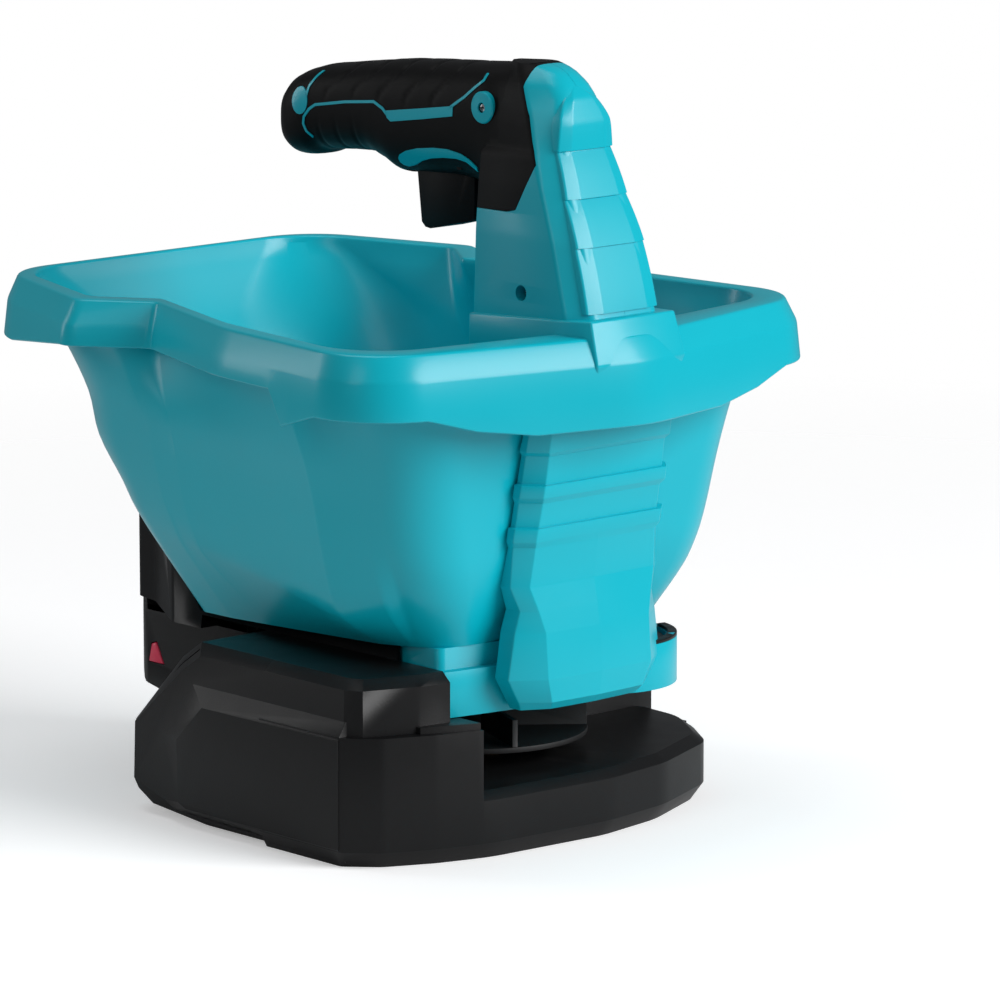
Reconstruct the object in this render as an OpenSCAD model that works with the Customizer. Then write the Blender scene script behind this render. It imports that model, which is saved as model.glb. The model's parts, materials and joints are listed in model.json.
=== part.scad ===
// Handheld battery spreader for seed, granules and grit: a bucket-shaped hopper on a
// metering gate and a spinning impeller, carried by one handle over the front wall.
// Millimetres, +Z up, -Y is the front that throws, the origin lies on the floor.

/* [Hopper] */

// Height of the flat lip above the floor
lip_top = 213; // [209:1:217]
// Depth of the rim's outer band below the lip
band_depth = 19; // [16:1:22]
// Lowest edge of the front skirt above the floor
skirt_low = 177; // [174:1:182]
// Thickness of the hopper walls
hopper_wall = 2.6; // [2:0.1:3.2]
// Thickness of the folded rim
rim_wall = 2.8; // [2:0.1:3.4]
// Radius of the outlet in the hopper floor
port_r = 7; // [5:0.5:8]

/* [Handle] */

// Thickness of the handle shells
shell_wall = 2.8; // [2.2:0.1:3.4]
// Half of the post's width
post_half = 24; // [22:0.5:26]
// Half of the grip's width
grip_half = 17.5; // [16:0.5:19]
// Half of the trigger's width
trigger_half = 9; // [7:0.5:10]
// Radius of the trigger's pivot pin
trigger_pin_r = 2; // [1.5:0.1:2.5]

/* [Drive] */

// Radius of the impeller shaft
shaft_r = 4; // [3.5:0.1:5]
// Radial clearance of a shaft in its bearing
running_fit = 0.06; // [0.03:0.01:0.09]
// Radius of the impeller disc
impeller_r = 46; // [42:0.5:46.5]
// Number of impeller blades
blades = 5; // [3:1:8]
// Height of the impeller blades over the disc
blade_height = 11.5; // [8:0.5:14]
// Teeth of the big drive gear
drive_teeth = 54; // [48:2:54]
// Teeth of the motor's pinion
pinion_teeth = 12; // [11:1:14]
// Module of the drive gears
drive_module = 2; // [1.8:0.1:2]
// Radius of the motor can
motor_r = 14; // [12:0.5:14.5]

/* [Metering] */

// Teeth of the metering disc
gate_teeth = 40; // [38:2:42]
// Teeth under the flow dial
dial_teeth = 30; // [28:2:30]
// Module of the metering gears
gate_module = 1.5; // [1.4:0.05:1.5]
// Radius of the flow dial's face
dial_r = 25; // [22:0.5:26]
// Turn of the flow dial from setting 8 to setting 1
dial_turn = 315; // [270:45:315]

/* [Base and battery] */

// Height of the flat deck round the impeller
deck_top = 28; // [26:0.5:29]
// Thickness of the black housings
base_wall = 2.5; // [2:0.1:3]
// Half of the battery's width
pack_half = 37; // [34:0.5:38]
// Rear face of the battery
pack_rear = 187; // [180:1:190]
// Play between parts that slide or lift off
slide_gap = 0.35; // [0.3:0.05:0.5]

/* [Hidden] */

$fn = 48;
eps = 0.01;
far = 400;

teal = [0.02, 0.62, 0.68];
black = [0.06, 0.06, 0.065];
grey = [0.2, 0.2, 0.21];
red = [0.85, 0.06, 0.22];
steel = [0.62, 0.63, 0.65];
brass = [0.75, 0.6, 0.3];

// The shaft, the motor and the dial: places in plan
axis_y = 8;
gear_r = drive_module * drive_teeth / 2;
pinion_r = drive_module * pinion_teeth / 2;
motor_y = axis_y + gear_r + pinion_r;
gate_pitch_r = gate_module * gate_teeth / 2;
dial_pitch_r = gate_module * dial_teeth / 2;
dial_angle = -45;
dial_x = (gate_pitch_r + dial_pitch_r) * cos(dial_angle);
dial_y = axis_y + (gate_pitch_r + dial_pitch_r) * sin(dial_angle);
port_angle = 225;
port_ring = 19.8;
port_x = port_ring * cos(port_angle);
port_y = axis_y + port_ring * sin(port_angle);

// The hopper's floor slopes down towards the rear
floor_z0 = 83.3;
floor_slope = 0.043;
floor_tilt = atan(floor_slope);
function floor_z(y) = floor_z0 - floor_slope * y;

// Levels of the drive, from the bottom plate up
plate = 3;
gear_z = 7;
gear_h = 7;
disc_z = 34.6;
disc_h = 2.2;
neck_low = 57;
gate_z = 65.5;
gate_h = 3;
dial_face_z = 75;
block_top = 77;

// Outlines and lofts

function unit2(v) = v / norm(v);

// Rounds each corner [x, y, radius, steps, z] of an outline; every corner gives steps + 1 points
function rounded(v) = [for (i = [0:len(v) - 1])
    let (a = v[(i + len(v) - 1) % len(v)], b = v[i], c = v[(i + 1) % len(v)],
        u = unit2([a[0] - b[0], a[1] - b[1]]), w = unit2([c[0] - b[0], c[1] - b[1]]),
        half = acos(max(-1, min(1, u * w))) / 2, reach = b[2] / tan(half),
        centre = [b[0], b[1]] + unit2(u + w) * b[2] / sin(half),
        p = [b[0], b[1]] + u * reach - centre, q = [b[0], b[1]] + w * reach - centre,
        start = atan2(p[1], p[0]), turn = ((atan2(q[1], q[0]) - start + 540) % 360) - 180)
    for (k = [0:b[3]]) b[3] == 0 ? [b[0], b[1], b[4]]
        : [centre[0] + b[2] * cos(start + turn * k / b[3]),
           centre[1] + b[2] * sin(start + turn * k / b[3]), b[4]]];

function flat(ring) = [for (p = ring) [p[0], p[1]]];

// A solid through rings of equal length, listed counterclockwise from above, bottom first
module loft(rings) {
    n = len(rings[0]);
    m = len(rings);
    polyhedron([for (r = rings) each r],
        concat([[for (i = [0:n - 1]) i]],
            [for (j = [0:m - 2], i = [0:n - 1]) each
                [[j * n + i, (j + 1) * n + i, (j + 1) * n + (i + 1) % n],
                 [j * n + i, (j + 1) * n + (i + 1) % n, j * n + (i + 1) % n]]],
            [[for (i = [n - 1:-1:0]) (m - 1) * n + i]]), convexity = 8);
}

// A side profile [y, z] swept along X from x0 to x1
module along_x(x0, x1, profile) {
    translate([x0, 0, 0]) rotate([90, 0, 90]) linear_extrude(x1 - x0) polygon(profile);
}

// Mirrors a child to both sides of the middle plane
module both() {
    children();
    mirror([1, 0, 0]) children();
}

module ring_solid(outer, inner, height) {
    difference() {
        cylinder(r = outer, h = height);
        translate([0, 0, -1]) cylinder(r = inner, h = height + 2);
    }
}

// Everything below the hopper's sloping floor
module under_floor(drop = 0) {
    translate([0, 0, floor_z0 - drop]) rotate([-floor_tilt, 0, 0])
        translate([-far / 2, -far / 2, -far]) cube([far, far, far]);
}

// Straight-flanked spur teeth with some backlash
function gear_points(mod, n) = let (r = mod * n / 2, step = 360 / n)
    [for (i = [0:n - 1]) each
        [for (s = [[-1.2, -0.34], [0, -0.225], [0.85, -0.1], [0.85, 0.1], [0, 0.225], [-1.2, 0.34]])
            let (rr = r + s[0] * mod, t = (i + s[1]) * step) [rr * cos(t), rr * sin(t)]]];

// Half outlines of the rim and the hopper: corners [x, y, radius, steps], front first.
// The corners are the front middle, front corner, side, waist, ear and rear corner.
lip_inner = [[0, -70, 60, 3], [115, -52, 30, 6], [103, 45, 80, 3], [83, 110, 4, 2], [101, 136, 10, 2],
    [78.5, 210.5, 30, 7]];
lip_outer = [[0, -90, 60, 3], [124, -61, 32, 6], [113, 35, 80, 3], [91, 104, 5, 2], [111, 133, 10, 2],
    [84.5, 214.5, 31, 7]];
band_top = [[0, -95, 60, 3], [128, -65, 34, 6], [117, 35, 80, 3], [94.5, 103, 5, 2], [117, 132, 10, 2],
    [89, 220.5, 44, 7]];

function grow(half, d) = [for (c = half) [c[0] == 0 ? 0 : c[0] + d, c[1] + (c[1] < -30 ? -d :
    c[1] > 140 ? d : 0),
    max(1, c[2] + d), c[3]]];

// Plain points between the corners, where the skirt's lower edge changes height
front_marks = [0.39, 0.6];
side_marks = [0.53, 0.615];
function marked(h, z) = let (q = [for (i = [0:len(h) - 1]) [h[i][0], h[i][1], h[i][2], h[i][3],
        is_list(z) ? z[i] : z]])
    concat([q[0]], [for (t = front_marks) plain(q[0] * (1 - t) + q[1] * t)], [q[1]],
        [for (t = side_marks) plain(q[1] * (1 - t) + q[2] * t)], [for (i = [2:len(q) - 1]) q[i]]);
function plain(c) = [c[0], c[1], 0, 0, c[4]];
function closed(q) = rounded(concat(q, [for (i = [len(q) - 1:-1:1]) [-q[i][0], q[i][1], q[i][2],
    q[i][3], q[i][4]]]));
function ring(half, z) = closed(marked(half, z));

// Hopper walls from the rim down: [half outline, height of each corner]
tub = [
    [grow(lip_inner, hopper_wall), lip_top - rim_wall],
    [[[0, -67, 60, 3], [100, -61, 32, 6], [106, 8, 40, 3], [92, 104, 30, 2], [95, 124, 20, 2],
        [90, 202, 61.6, 7]], 187],
    [[[0, -61, 60, 3], [89.5, -58, 28, 6], [104, -2, 14, 3], [95.5, 92, 40, 2], [93.5, 112, 30, 2],
        [84, 190, 61.5, 7]], 167],
    [[[0, -58, 60, 3], [85.5, -55.5, 28, 6], [99.5, -3.5, 14, 3], [93, 90, 40, 2], [91.5, 107, 30, 2],
        [82, 180, 51, 7]], 149],
    [[[0, -55, 60, 3], [82.5, -53.5, 28, 6], [95.3, -5, 14, 3], [90.5, 88, 40, 2], [89, 104, 30, 2],
        [80, 162, 42, 7]], [130, 128, 124, 130, 131, 132]],
    [[[0, -54, 60, 3], [80.5, -52, 26, 6], [91, -7, 12, 3], [88, 84, 40, 2], [87, 100, 30, 2],
        [78, 153, 36, 7]], [124, 116, 103, 117, 120.5, 121.5]],
    [[[0, -50.5, 60, 3], [77, -48.5, 24, 6], [85.5, -9, 12, 3], [84, 82, 40, 2], [83, 98, 30, 2],
        [74, 143, 30, 7]], [110, 104, 95, 108, 110, 110]],
    [[[0, -42.5, 60, 3], [64, -41, 20, 6], [69, -10, 8, 3], [68.6, 60, 60, 2], [68, 85, 40, 2],
        [65, 111, 8, 7]], 0]];

function tub_ring(k, d) = k < len(tub) - 1 ? ring(grow(tub[k][0], -d), tub[k][1])
    : [for (p = ring(grow(tub[k][0], -d), 0)) [p[0], p[1], floor_z(p[1]) + d]];

module tub_outside() {
    loft([for (k = [len(tub) - 1:-1:0]) tub_ring(k, 0)]);
}

bevel_drop = 10;
band_draft = 1.6;
band_low = lip_top - band_depth;
rear_drop = 6.5;

// Height of the rim's lower edge at each corner and mark: deep arched skirt in front, shallow band at
// the waist, a little deeper behind
skirt_edge = [skirt_low, skirt_low, skirt_low + 4, skirt_low + 10, skirt_low + 3, band_low, band_low,
    band_low,
    band_low, band_low - rear_drop];
function edge_ring(d) = let (q = marked(grow(band_top, d), 0))
    closed([for (i = [0:len(q) - 1]) [q[i][0], q[i][1], q[i][2], q[i][3], skirt_edge[i]]]);

// One moulding: up the outside, round the folded rim and down the inside
module hopper_shell() {
    last = len(tub) - 1;
    loft(concat([for (k = [last:-1:0]) tub_ring(k, 0)],
        [ring(grow(lip_outer, -rim_wall), lip_top - rim_wall),
            ring(grow(band_top, -rim_wall), lip_top - bevel_drop - 1),
            edge_ring(band_draft - rim_wall), edge_ring(band_draft),
            ring(band_top, lip_top - bevel_drop), ring(lip_outer, lip_top), ring(lip_inner, lip_top),
            ring(grow(lip_inner, -0.3), lip_top - rim_wall)],
        [for (k = [1:last]) tub_ring(k, hopper_wall)]));
}

// Plan of the collar that carries the post, at one height; its front follows the rim's shallow V
function collar_plan(side, front_half, front, rear, z, dip = 0.4, tilt = 0) =
    [for (p = [[-side, rear], [-side, -71], [-front_half, front + dip], [0, front], [front_half,
        front + dip],
        [side, -71], [side, rear]]) [p[0], p[1], z - tilt * (p[1] - front)]];

collar_top = 220;
collar_front = -83;
collar_rear = -15;
collar_tilt = 0.059;
function collar_z(y) = collar_top - collar_tilt * (y - collar_front);

// The same plan where the collar runs down inside the hopper's front wall
function collar_foot(side, front_half, front, rear, z) =
    [for (p = collar_plan(side, front_half, front, rear, z)) [p[0], max(p[1], front), p[2]]];

module collar_block() {
    loft([collar_foot(18, 16, -58, -48, 158),
        collar_foot(post_half - 1, 19, -65, collar_rear, 187),
        collar_plan(post_half, 22, -90, collar_rear, 191, 4.6),
        collar_plan(post_half + 1.4, 23.4, -95.1, collar_rear, lip_top - 10.4, 5),
        collar_plan(post_half + 0.6, 18.5, collar_front, collar_rear, collar_top, 0.4, collar_tilt)]);
}

tenon_depth = 24;

// The inside of the post, down into the collar's socket
module post_core(d, low, high) {
    translate([0, 0, low]) linear_extrude(high - low)
        polygon([[-post_half + d, -21 - d], [-post_half + d, -66 + d / 2], [-15, -74 + d],
            [15, -74 + d], [post_half - d, -66 + d / 2], [post_half - d, -21 - d]]);
}

module hopper() {
    color(teal) difference() {
        union() {
            hopper_shell();
            collar_block();
            floor_bosses();
        }
        post_core(3.2, collar_top - tenon_depth - 1, collar_top + 1);
        translate([0, axis_y, 60]) cylinder(r = seal_r + 0.02, h = 40);
        translate([port_x, port_y, 60]) cylinder(r = port_r, h = 40);
        for (q = screw_spots) translate([q[0], q[1], 60]) cylinder(r = screw_r, h = 33);
    }
}

// Screws that hold the neck, the rear housing and the base under the hopper: [x, y, underside of the
// head's seat]
screw_r = 1.5;
screw_play = 0.4;
screw_tip = 92;
screw_spots = [[-48, -5, 68], [38, 24, 68], [60, 48, 74.5], [-60, 48, 74.5], [52, 84, 77], [-52, 84, 77]];

// Blind screw bosses that stand up from the floor inside the hopper
module floor_bosses() {
    for (q = screw_spots) translate([q[0], q[1], floor_z(q[1]) + 1]) cylinder(r = 5, h = 13);
}

module screw_ways() {
    for (q = screw_spots) translate([q[0], q[1], 40]) cylinder(r = screw_r + screw_play, h = 60);
}

module hopper_screws() {
    color(steel) for (q = screw_spots) translate([q[0], q[1], q[2] - 0.02]) mirror([0, 0, 1])
        pan_screw(3, screw_r - 0.05, screw_tip - q[2]);
}

// Front column: [height, half of front face, front, half of back, side edge]
column = [[179, 33, -74.5, 38.5, -67], [150, 33.5, -70, 40, -62.5], [131, 34, -66, 41, -59.5],
    [110, 35, -62.8, 41, -57.5], [100, 31, -64, 36.5, -58.5], [91, 28.5, -65.5, 39, -58],
    [72, 28.5, -67, 42, -57.5], [62, 25, -65.5, 36, -57], [58.5, 23, -62, 34, -56]];

// Raised and sunk bands of the column: [height, how far in]
bands = [[179, 0], [166.5, 0], [164.5, 1.4], [153, 1.4], [152.6, 0], [147.5, 0], [145, 1.4],
    [135, 1.4], [134.6, 0], [129, 0], [126.5, 1.2], [110, 0.8], [100, 0], [91, 0], [72, 0], [62, 0],
    [58.5, 0]];

function column_at(z, i = 0) = z >= column[i + 1][0] || i + 2 >= len(column)
    ? let (t = (z - column[i + 1][0]) / (column[i][0] - column[i + 1][0]))
        column[i + 1] * (1 - t) + column[i] * t
    : column_at(z, i + 1);

function column_ring(z, d, crease) = let (c = column_at(z)) [
    [-c[3] + d, -30, z], [-c[3] + d, c[4] + d, z], [-c[1] + d, c[2] + d, z], [0, c[2] + d - crease, z],
    [c[1] - d, c[2] + d, z], [c[3] - d, c[4] + d, z], [c[3] - d, -30, z]];

column_back = [[-68.7, 200], [-67.8, 187], [-61.9, 167], [-58.9, 149], [-56.1, 130], [-55.2, 124],
    [-51.5, 110], [-50.3, 92], [-50.3, 50]];

module front_column() {
    wall = 2.4;
    color(teal) difference() {
        intersection() {
            loft([for (k = [len(bands) - 1:-1:0]) column_ring(bands[k][0], bands[k][1],
                bands[k][0] < 127 ? 1.2 : 0)]);
            along_x(-60, 60, concat([[-100, 50], [-100, 200]], column_back));
        }
        loft([column_ring(60.9, wall + 1.4, 0), column_ring(90, wall + 1.4, 0),
            column_ring(130, wall + 1.4, 0), column_ring(180, wall + 1.4, 0)]);
        translate([dial_x, dial_y, 40]) cylinder(r = lug_r + 0.3, h = lug_top + 1.8 - 40);
    }
    color(teal) for (x = [-20, 16]) intersection() {
        translate([x, -75, 84]) cube([4, 40, 88]);
        along_x(-60, 60, concat([[-64, 50], [-61, 110], [-64.5, 131], [-68, 150], [-72, 180]],
            column_back));
    }
}

// Neck: the teal housing of the metering gear, with the dial's round lug
lug_r = 30.5;
lug_top = 76;
seal_r = 7;
seal_z = 79.5;
neck_skirt = [[-63, -42, 1], [-20, -49.5, 6], [20, -49.5, 6], [45, -42, 6], [50, -12, 6], [40, 40, 10],
    [-40, 44, 10], [-63, 30, 1]];
neck_upper = [[-62, -38, 4], [-16, -46, 6], [8, -46, 4], [9, -30, 4], [24, -5, 8], [45, 0, 6], [45, 38,
    10],
    [-40, 44, 10], [-62, 30, 4]];

function soft(v, steps) = flat(rounded([for (p = v) [p[0], p[1], p[2], steps, 0]]));
function inset(v, d) = [for (p = v) [p[0] - sign(p[0]) * d, p[1] - sign(p[1]) * d, max(0.5, p[2] - d)]];

// What the neck may fill: the impeller chamber's mouth and the front, below the base's deck
module neck_room() {
    translate([0, axis_y, 0]) cylinder(r = chamber_r - 0.3, h = 100);
    translate([-100, -100, 0]) cube([200, 117.7, 100]);
    translate([-100, -100, block_top + 0.02]) cube([200, 200, 100]);
}

module neck_housing() {
    wall = 2.4;
    tube_r = shaft_r + 3.2;
    color(teal) difference() {
        union() {
            intersection() {
                neck_room();
                union() {
                    intersection() {
                        union() {
                            translate([0, 0, neck_low]) linear_extrude(lug_top - neck_low)
                                polygon(soft(neck_skirt, 4));
                            translate([0, 0, lug_top - 6]) linear_extrude(20) polygon(soft(neck_upper,
                                4));
                        }
                        under_floor(0.02);
                        along_x(-80, 80, [[-60, neck_low], [-41, neck_low], [-39, 66], [-15, 76.2],
                            [60, 77.2],
                            [60, 100], [-60, 100]]);
                    }
                    translate([0, 0, neck_low]) linear_extrude(16) polygon(soft(neck_skirt, 4));
                }
            }
            translate([dial_x, dial_y, neck_low]) cylinder(r = lug_r, h = lug_top - neck_low);
        }
        // metering chamber, dial well, the way for the seed, the seal and the screws
        translate([0, axis_y, neck_low + wall]) cylinder(r = gate_pitch_r + 3,
            h = gate_z + gate_h + 1 - neck_low - wall);
        translate([dial_x, dial_y, neck_low + wall]) cylinder(r = dial_r + 1, h = 40);
        translate([port_x, port_y, 40]) cylinder(r = port_r + 1, h = 60);
        translate([0, axis_y, 40]) cylinder(r = shaft_r + 0.6, h = 60);
        translate([0, axis_y, seal_z - 0.02]) cylinder(r = seal_r + 0.02, h = 60);
        screw_ways();
        translate([-56, -34, neck_low - 1]) cube([16, 60, 12]);
        translate([34, 18, neck_low - 1]) cube([8, 12, 12]);
    }
    color(teal) difference() {
        union() {
            translate([0, axis_y, neck_low + wall - eps]) cylinder(r = tube_r,
                h = gate_z + gate_h + 0.6 - neck_low - wall);
            translate([0, axis_y, neck_low + wall - eps]) cylinder(r = tube_r + 3,
                h = gate_z - neck_low - wall - 0.1);
            translate([dial_x, dial_y, neck_low + wall - eps]) cylinder(r = 4,
                h = dial_face_z - 3 - neck_low - wall);
            translate([dial_x, dial_y, neck_low + wall - eps]) cylinder(r = 7,
                h = gate_z - neck_low - wall - 0.1);
        }
        translate([0, axis_y, 40]) cylinder(r = shaft_r + 0.6, h = 60);
    }
}

// Handle: side profiles [y, z]
post_front = [[collar_front, collar_z(collar_front) + 0.05], [-76.4, 247.2], [-75.2, 248], [-67.4,
    265.6], [-66.2, 266.4], [-60.2, 284],
    [-59.6, 285], [-59.8, 296], [-56.6, 305], [-49, 313], [-36, 317.3]];
teal_edge = [[-36.5, 318.6], [-41, 309], [-50, 297], [-53, 288], [-55, 279], [-42, 260], [-18, 259.4]];

// Grip stations: [y, top, bottom, half width]
grip = [[-50, 310, 242, 16], [-40, 315.6, 242, 17.4], [-22, 316, 242, 17.5],
    [-11, 315.6, 262.5, 17.5], [4, 314.6, 266.5, 17.5], [24, 313.4, 266, 17.5], [44, 312, 265.6, 17.5],
    [54, 311, 269.5, 17.4], [62, 309.8, 271.8, 17.3], [92, 306, 270, 17.4],
    [101, 303.8, 267, 18], [108, 301, 266.6, 17.6], [113.5, 296.6, 268.6, 15.4], [117, 291.6, 272.6, 11],
    [118.4, 287.6, 276.8, 6.5]];

// One cross-section of the grip: a rounded oblong of 16 points
function grip_ring(s, d) = let (top = s[1] - d, low = s[2] + d, mid = (top + low) / 2,
    h = (top - low) / 2,
        w = s[3] * grip_half / 17.5 - d)
    [for (k = [0:15]) let (t = k * 22.5 + 11.25, c = cos(t), e = sin(t))
        [-w * sign(c) * pow(abs(c), 0.72), s[0] - (s[0] > 110 ? d : 0), mid + h * sign(e) * pow(abs(e),
            0.72)]];

module grip_solid(d) {
    loft([for (k = [0:len(grip) - 1]) grip_ring(grip[k], d)]);
}

// Plans of the post: [height, half width, side edge, half of front face, front]
post_plans = [[190, 24, -71, 17, -84], [220, 24, -71, 17, -83], [250, 23, -62, 16, -77], [270, 21.5,
    -54, 14.6, -69],
    [285, 19, -50, 12, -64.5], [300, 17.3, -46, 6, -58.5], [310, 14, -40, 3.5, -51], [318, 9, -34, 2,
        -42]];

function post_plan(p, d) = let (h = p[1] * post_half / 24 - d, f = max(1, p[3] - d * 0.4), y = p[4] + d)
    rounded([[-h, -5, 1, 1, p[0]], [-h, p[2] + d, 5, 3, p[0]], [-f, y, min(4, f), 2, p[0]],
        [f, y, min(4, f), 2, p[0]], [h, p[2] + d, 5, 3, p[0]], [h, -5, 1, 1, p[0]]]);

module post_solid(d) {
    intersection() {
        along_x(-40, 40, concat([[-16.5 - d, collar_z(-16.5) + 0.05]],
            [for (p = post_front) [p[0] + d, p[1] - (p[1] > 225 ? d : 0)]], [[-16.5 - d, 317.3 - d]]));
        // sides draw in towards the top and towards the front face
        loft([for (p = post_plans) post_plan(p, d)]);
    }
}

module handle_solid(d) {
    post_solid(d);
    grip_solid(d);
}

// Region of the teal shells, seen from the side; the black grip takes the rest
module teal_region(d) {
    along_x(-40, 40, concat([[-100, 180], [-100, 330], [-36.5 + d, 330]],
        [for (p = teal_edge) [p[0] + d, p[1] + (p[1] < 261 ? d : 0)]], [[0, 259.4 + d], [0, 180]]));
}

module half_space(side, d) {
    translate([side < 0 ? -far - d : d, -far / 2, 0]) cube([far, far, far]);
}

seam = 0.02;
panel_depth = 2.6;

// Front ribbed cover of the post
module panel_cut(d) {
    along_x(-15.2 - d, 15.2 + d, concat([[-100, 224 - d], [-100, 300 + d]],
        [[-66, 300 + d]], [for (i = [6:-1:1]) [post_front[i][0] + panel_depth + d, post_front[i][1]]],
        [[post_front[0][0] + 1 + panel_depth + d, 224 - d]]));
}

boss_spots = [[-16, 299, 7], [99, 288, 5.6]];
post_screw = [-45, 227];

module cross_bore(at, r, from, length) {
    translate([from, at[0], at[1]]) rotate([0, 90, 0]) cylinder(r = r, h = length);
}

module post_shell(side) {
    color(teal) intersection() {
        half_space(side, seam);
        difference() {
            union() {
                difference() {
                    intersection() {
                        handle_solid(0);
                        teal_region(0);
                    }
                    difference() {
                        handle_solid(shell_wall);
                        cross_bore(post_screw, 4.4, -30, 60);
                    }
                }
                // tenon in the collar's socket
                difference() {
                    post_core(3.5, collar_top - tenon_depth, collar_top + 12);
                    post_core(3.5 + shell_wall, collar_top - tenon_depth - 1, collar_top + 20);
                }
            }
            panel_cut(0.1);
            cross_bore(post_screw, screw_r, -60, 75);
            if (side < 0) cross_bore(post_screw, 3.4, -60, 60 - post_half + 5);
            post_core(3.5 + shell_wall, collar_top - tenon_depth - 1, collar_top + 3);
        }
    }
}

module post_left() {
    post_shell(-1);
}

module post_right() {
    post_shell(1);
}

module post_panel() {
    color(teal) difference() {
        intersection() {
            post_solid(0);
            panel_cut(0);
        }
        along_x(-12.6, 12.6, concat([for (i = [1:6]) [post_front[i][0] + 1.4, post_front[i][1]]],
            [[-40, 290], [-40, 240]]));
    }
}

slot_y0 = -3;
slot_y1 = 36;

module grip_shell(side) {
    color(black) intersection() {
        half_space(side, seam);
        difference() {
            union() {
                grip_solid(0);
                intersection() {
                    post_solid(0);
                    translate([-40, -100, 240]) cube([80, 84, 90]);
                }
            }
            // hollow, less the screw bosses, the trigger's bearing blocks and the switch's cradle
            difference() {
                handle_solid(shell_wall);
                for (b = boss_spots) cross_bore(b, b[2], -30, 60);
                translate([-20, trigger_pivot[0] - 5, trigger_pivot[1] - 1]) cube([40, 10, 12]);
                for (y = [0, 24]) both() translate([switch_half + 0.05, y, 289]) cube([20, 3, 15]);
            }
            teal_region(0.06);
            translate([-trigger_half - 0.5, slot_y0, 236]) cube([2 * trigger_half + 1,
                slot_y1 - slot_y0, 50]);
            translate([-60, -17, 236]) cube([120, 200, 22]);
            cross_bore(trigger_pivot, trigger_pin_r, -50, 100);
            inlay_zone();
            crescent(0.02);
            for (b = boss_spots) cross_bore(b, screw_r, -60, 72);
            if (side < 0) for (b = boss_spots) cross_bore(b, 3.2, -60, 50);
            finger_grooves();
        }
    }
}

module grip_left() {
    grip_shell(-1);
}

module grip_right() {
    grip_shell(1);
}

// Slanted grooves on top of the grip
module finger_grooves() {
    for (k = [0:6]) translate([0, 34 + k * 10.5, 0]) both()
        translate([7, 0, 300]) rotate([0, 0, -32]) rotate([0, 22, 0]) translate([-6, 0, 9.2 - k * 0.9])
            cube([20, 2.2, 8]);
}

// Teal accents let into the black grip: wedge and screw caps
module inlay_zone() {
    for (side = [-1, 1]) {
        translate([side * (grip_half - 1.9), 0, 0]) mirror([side < 0 ? 1 : 0, 0, 0]) {
            along_x(0, 10, [[46, 289.4], [47.5, 291.4], [3, 297.6], [-2, 301], [-3, 297], [4, 292.6]]);
            for (b = boss_spots) translate([-0.6, b[0], b[1]]) rotate([0, 90, 0]) cylinder(r = b[2],
                h = 12);
        }
    }
}

// Lip over the trigger's slot, on the lower edges of the grip
crescent_in = 13.4;

module crescent(d) {
    both() translate([crescent_in - d, 0, 0]) along_x(0, 10, [[44, 268], [43, 272.5], [30, 277], [10,
        277], [-8, 274.6],
        [-8.6, 262], [12, 262], [32, 262], [44, 262]]);
}

module grip_inlay() {
    color(teal) difference() {
        intersection() {
            grip_solid(-0.15);
            union() {
                inlay_zone();
                crescent(0);
            }
        }
        cross_bore(trigger_pivot, trigger_pin_r + 0.1, -50, 100);
        for (b = boss_spots) cross_bore(b, 3.2, -60, 60);
    }
}

module pan_screw(head_r, r, length) {
    translate([0, 0, -length]) cylinder(r = r, h = length);
    difference() {
        cylinder(r = head_r, h = 2.2);
        for (a = [0, 60, 120]) rotate([0, 0, a]) translate([-head_r * 0.55, -0.5, 1])
            cube([head_r * 1.1, 1, 2]);
    }
}

module handle_screws() {
    color(steel) {
        for (b = boss_spots) translate([-10, b[0], b[1]]) rotate([0, -90, 0]) pan_screw(3,
            screw_r - 0.05, 18);
        translate([-post_half + 5, post_screw[0], post_screw[1]]) rotate([0, -90, 0]) pan_screw(3.2,
            screw_r - 0.05, 26);
    }
}

// Trigger, hinged near the post
trigger_pivot = [3, 273];

module trigger() {
    color(black) difference() {
        along_x(-trigger_half, trigger_half, [[34.4, 275], [34.4, 268], [31.8, 246.4], [29.6, 244.4],
            [26.5, 244],
            [12.4, 247.4], [1.5, 249.6], [-0.6, 251], [-0.8, 270], [0.2, 275], [3, 277], [20, 277]]);
        along_x(-trigger_half + 2, trigger_half - 2, [[32, 280], [31, spring_at[1]], [9, spring_at[1]],
            [9, 280]]);
        cross_bore(trigger_pivot, trigger_pin_r + running_fit, -30, 60);
    }
}

module trigger_pin() {
    color(steel) translate([-14, trigger_pivot[0], trigger_pivot[1]]) rotate([0, 90, 0])
        cylinder(r = trigger_pin_r, h = 28);
}

spring_at = [25, 262];
switch_low = 287.5;
switch_half = 8;

// A round wire wound into an open coil: one faceted tube
module coil(radius, wire, low, high, turns, per_turn = 12, sides = 5) {
    last = turns * per_turn;
    loft_tube([for (k = [0:last]) let (a = k * 360 / per_turn,
        z = low + wire + (high - low - 2 * wire) * k / last)
        [for (j = [0:sides - 1]) let (b = j * 360 / sides, r = radius + wire * cos(b))
            [r * cos(a), r * sin(a), z + wire * sin(b)]]]);
}

// A solid through closed rings that each run clockwise when seen along the path
module loft_tube(rings) {
    n = len(rings[0]);
    m = len(rings);
    polyhedron([for (r = rings) each r],
        concat([[for (i = [n - 1:-1:0]) i]],
            [for (j = [0:m - 2], i = [0:n - 1]) each
                [[j * n + i, j * n + (i + 1) % n, (j + 1) * n + (i + 1) % n],
                 [j * n + i, (j + 1) * n + (i + 1) % n, (j + 1) * n + i]]],
            [[for (i = [0:n - 1]) (m - 1) * n + i]]), convexity = 8);
}

module trigger_spring() {
    color(steel) translate([0, spring_at[0], 0]) coil(3.6, 0.7, spring_at[1] + 0.03, switch_low - 0.03,
        5);
}

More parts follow.
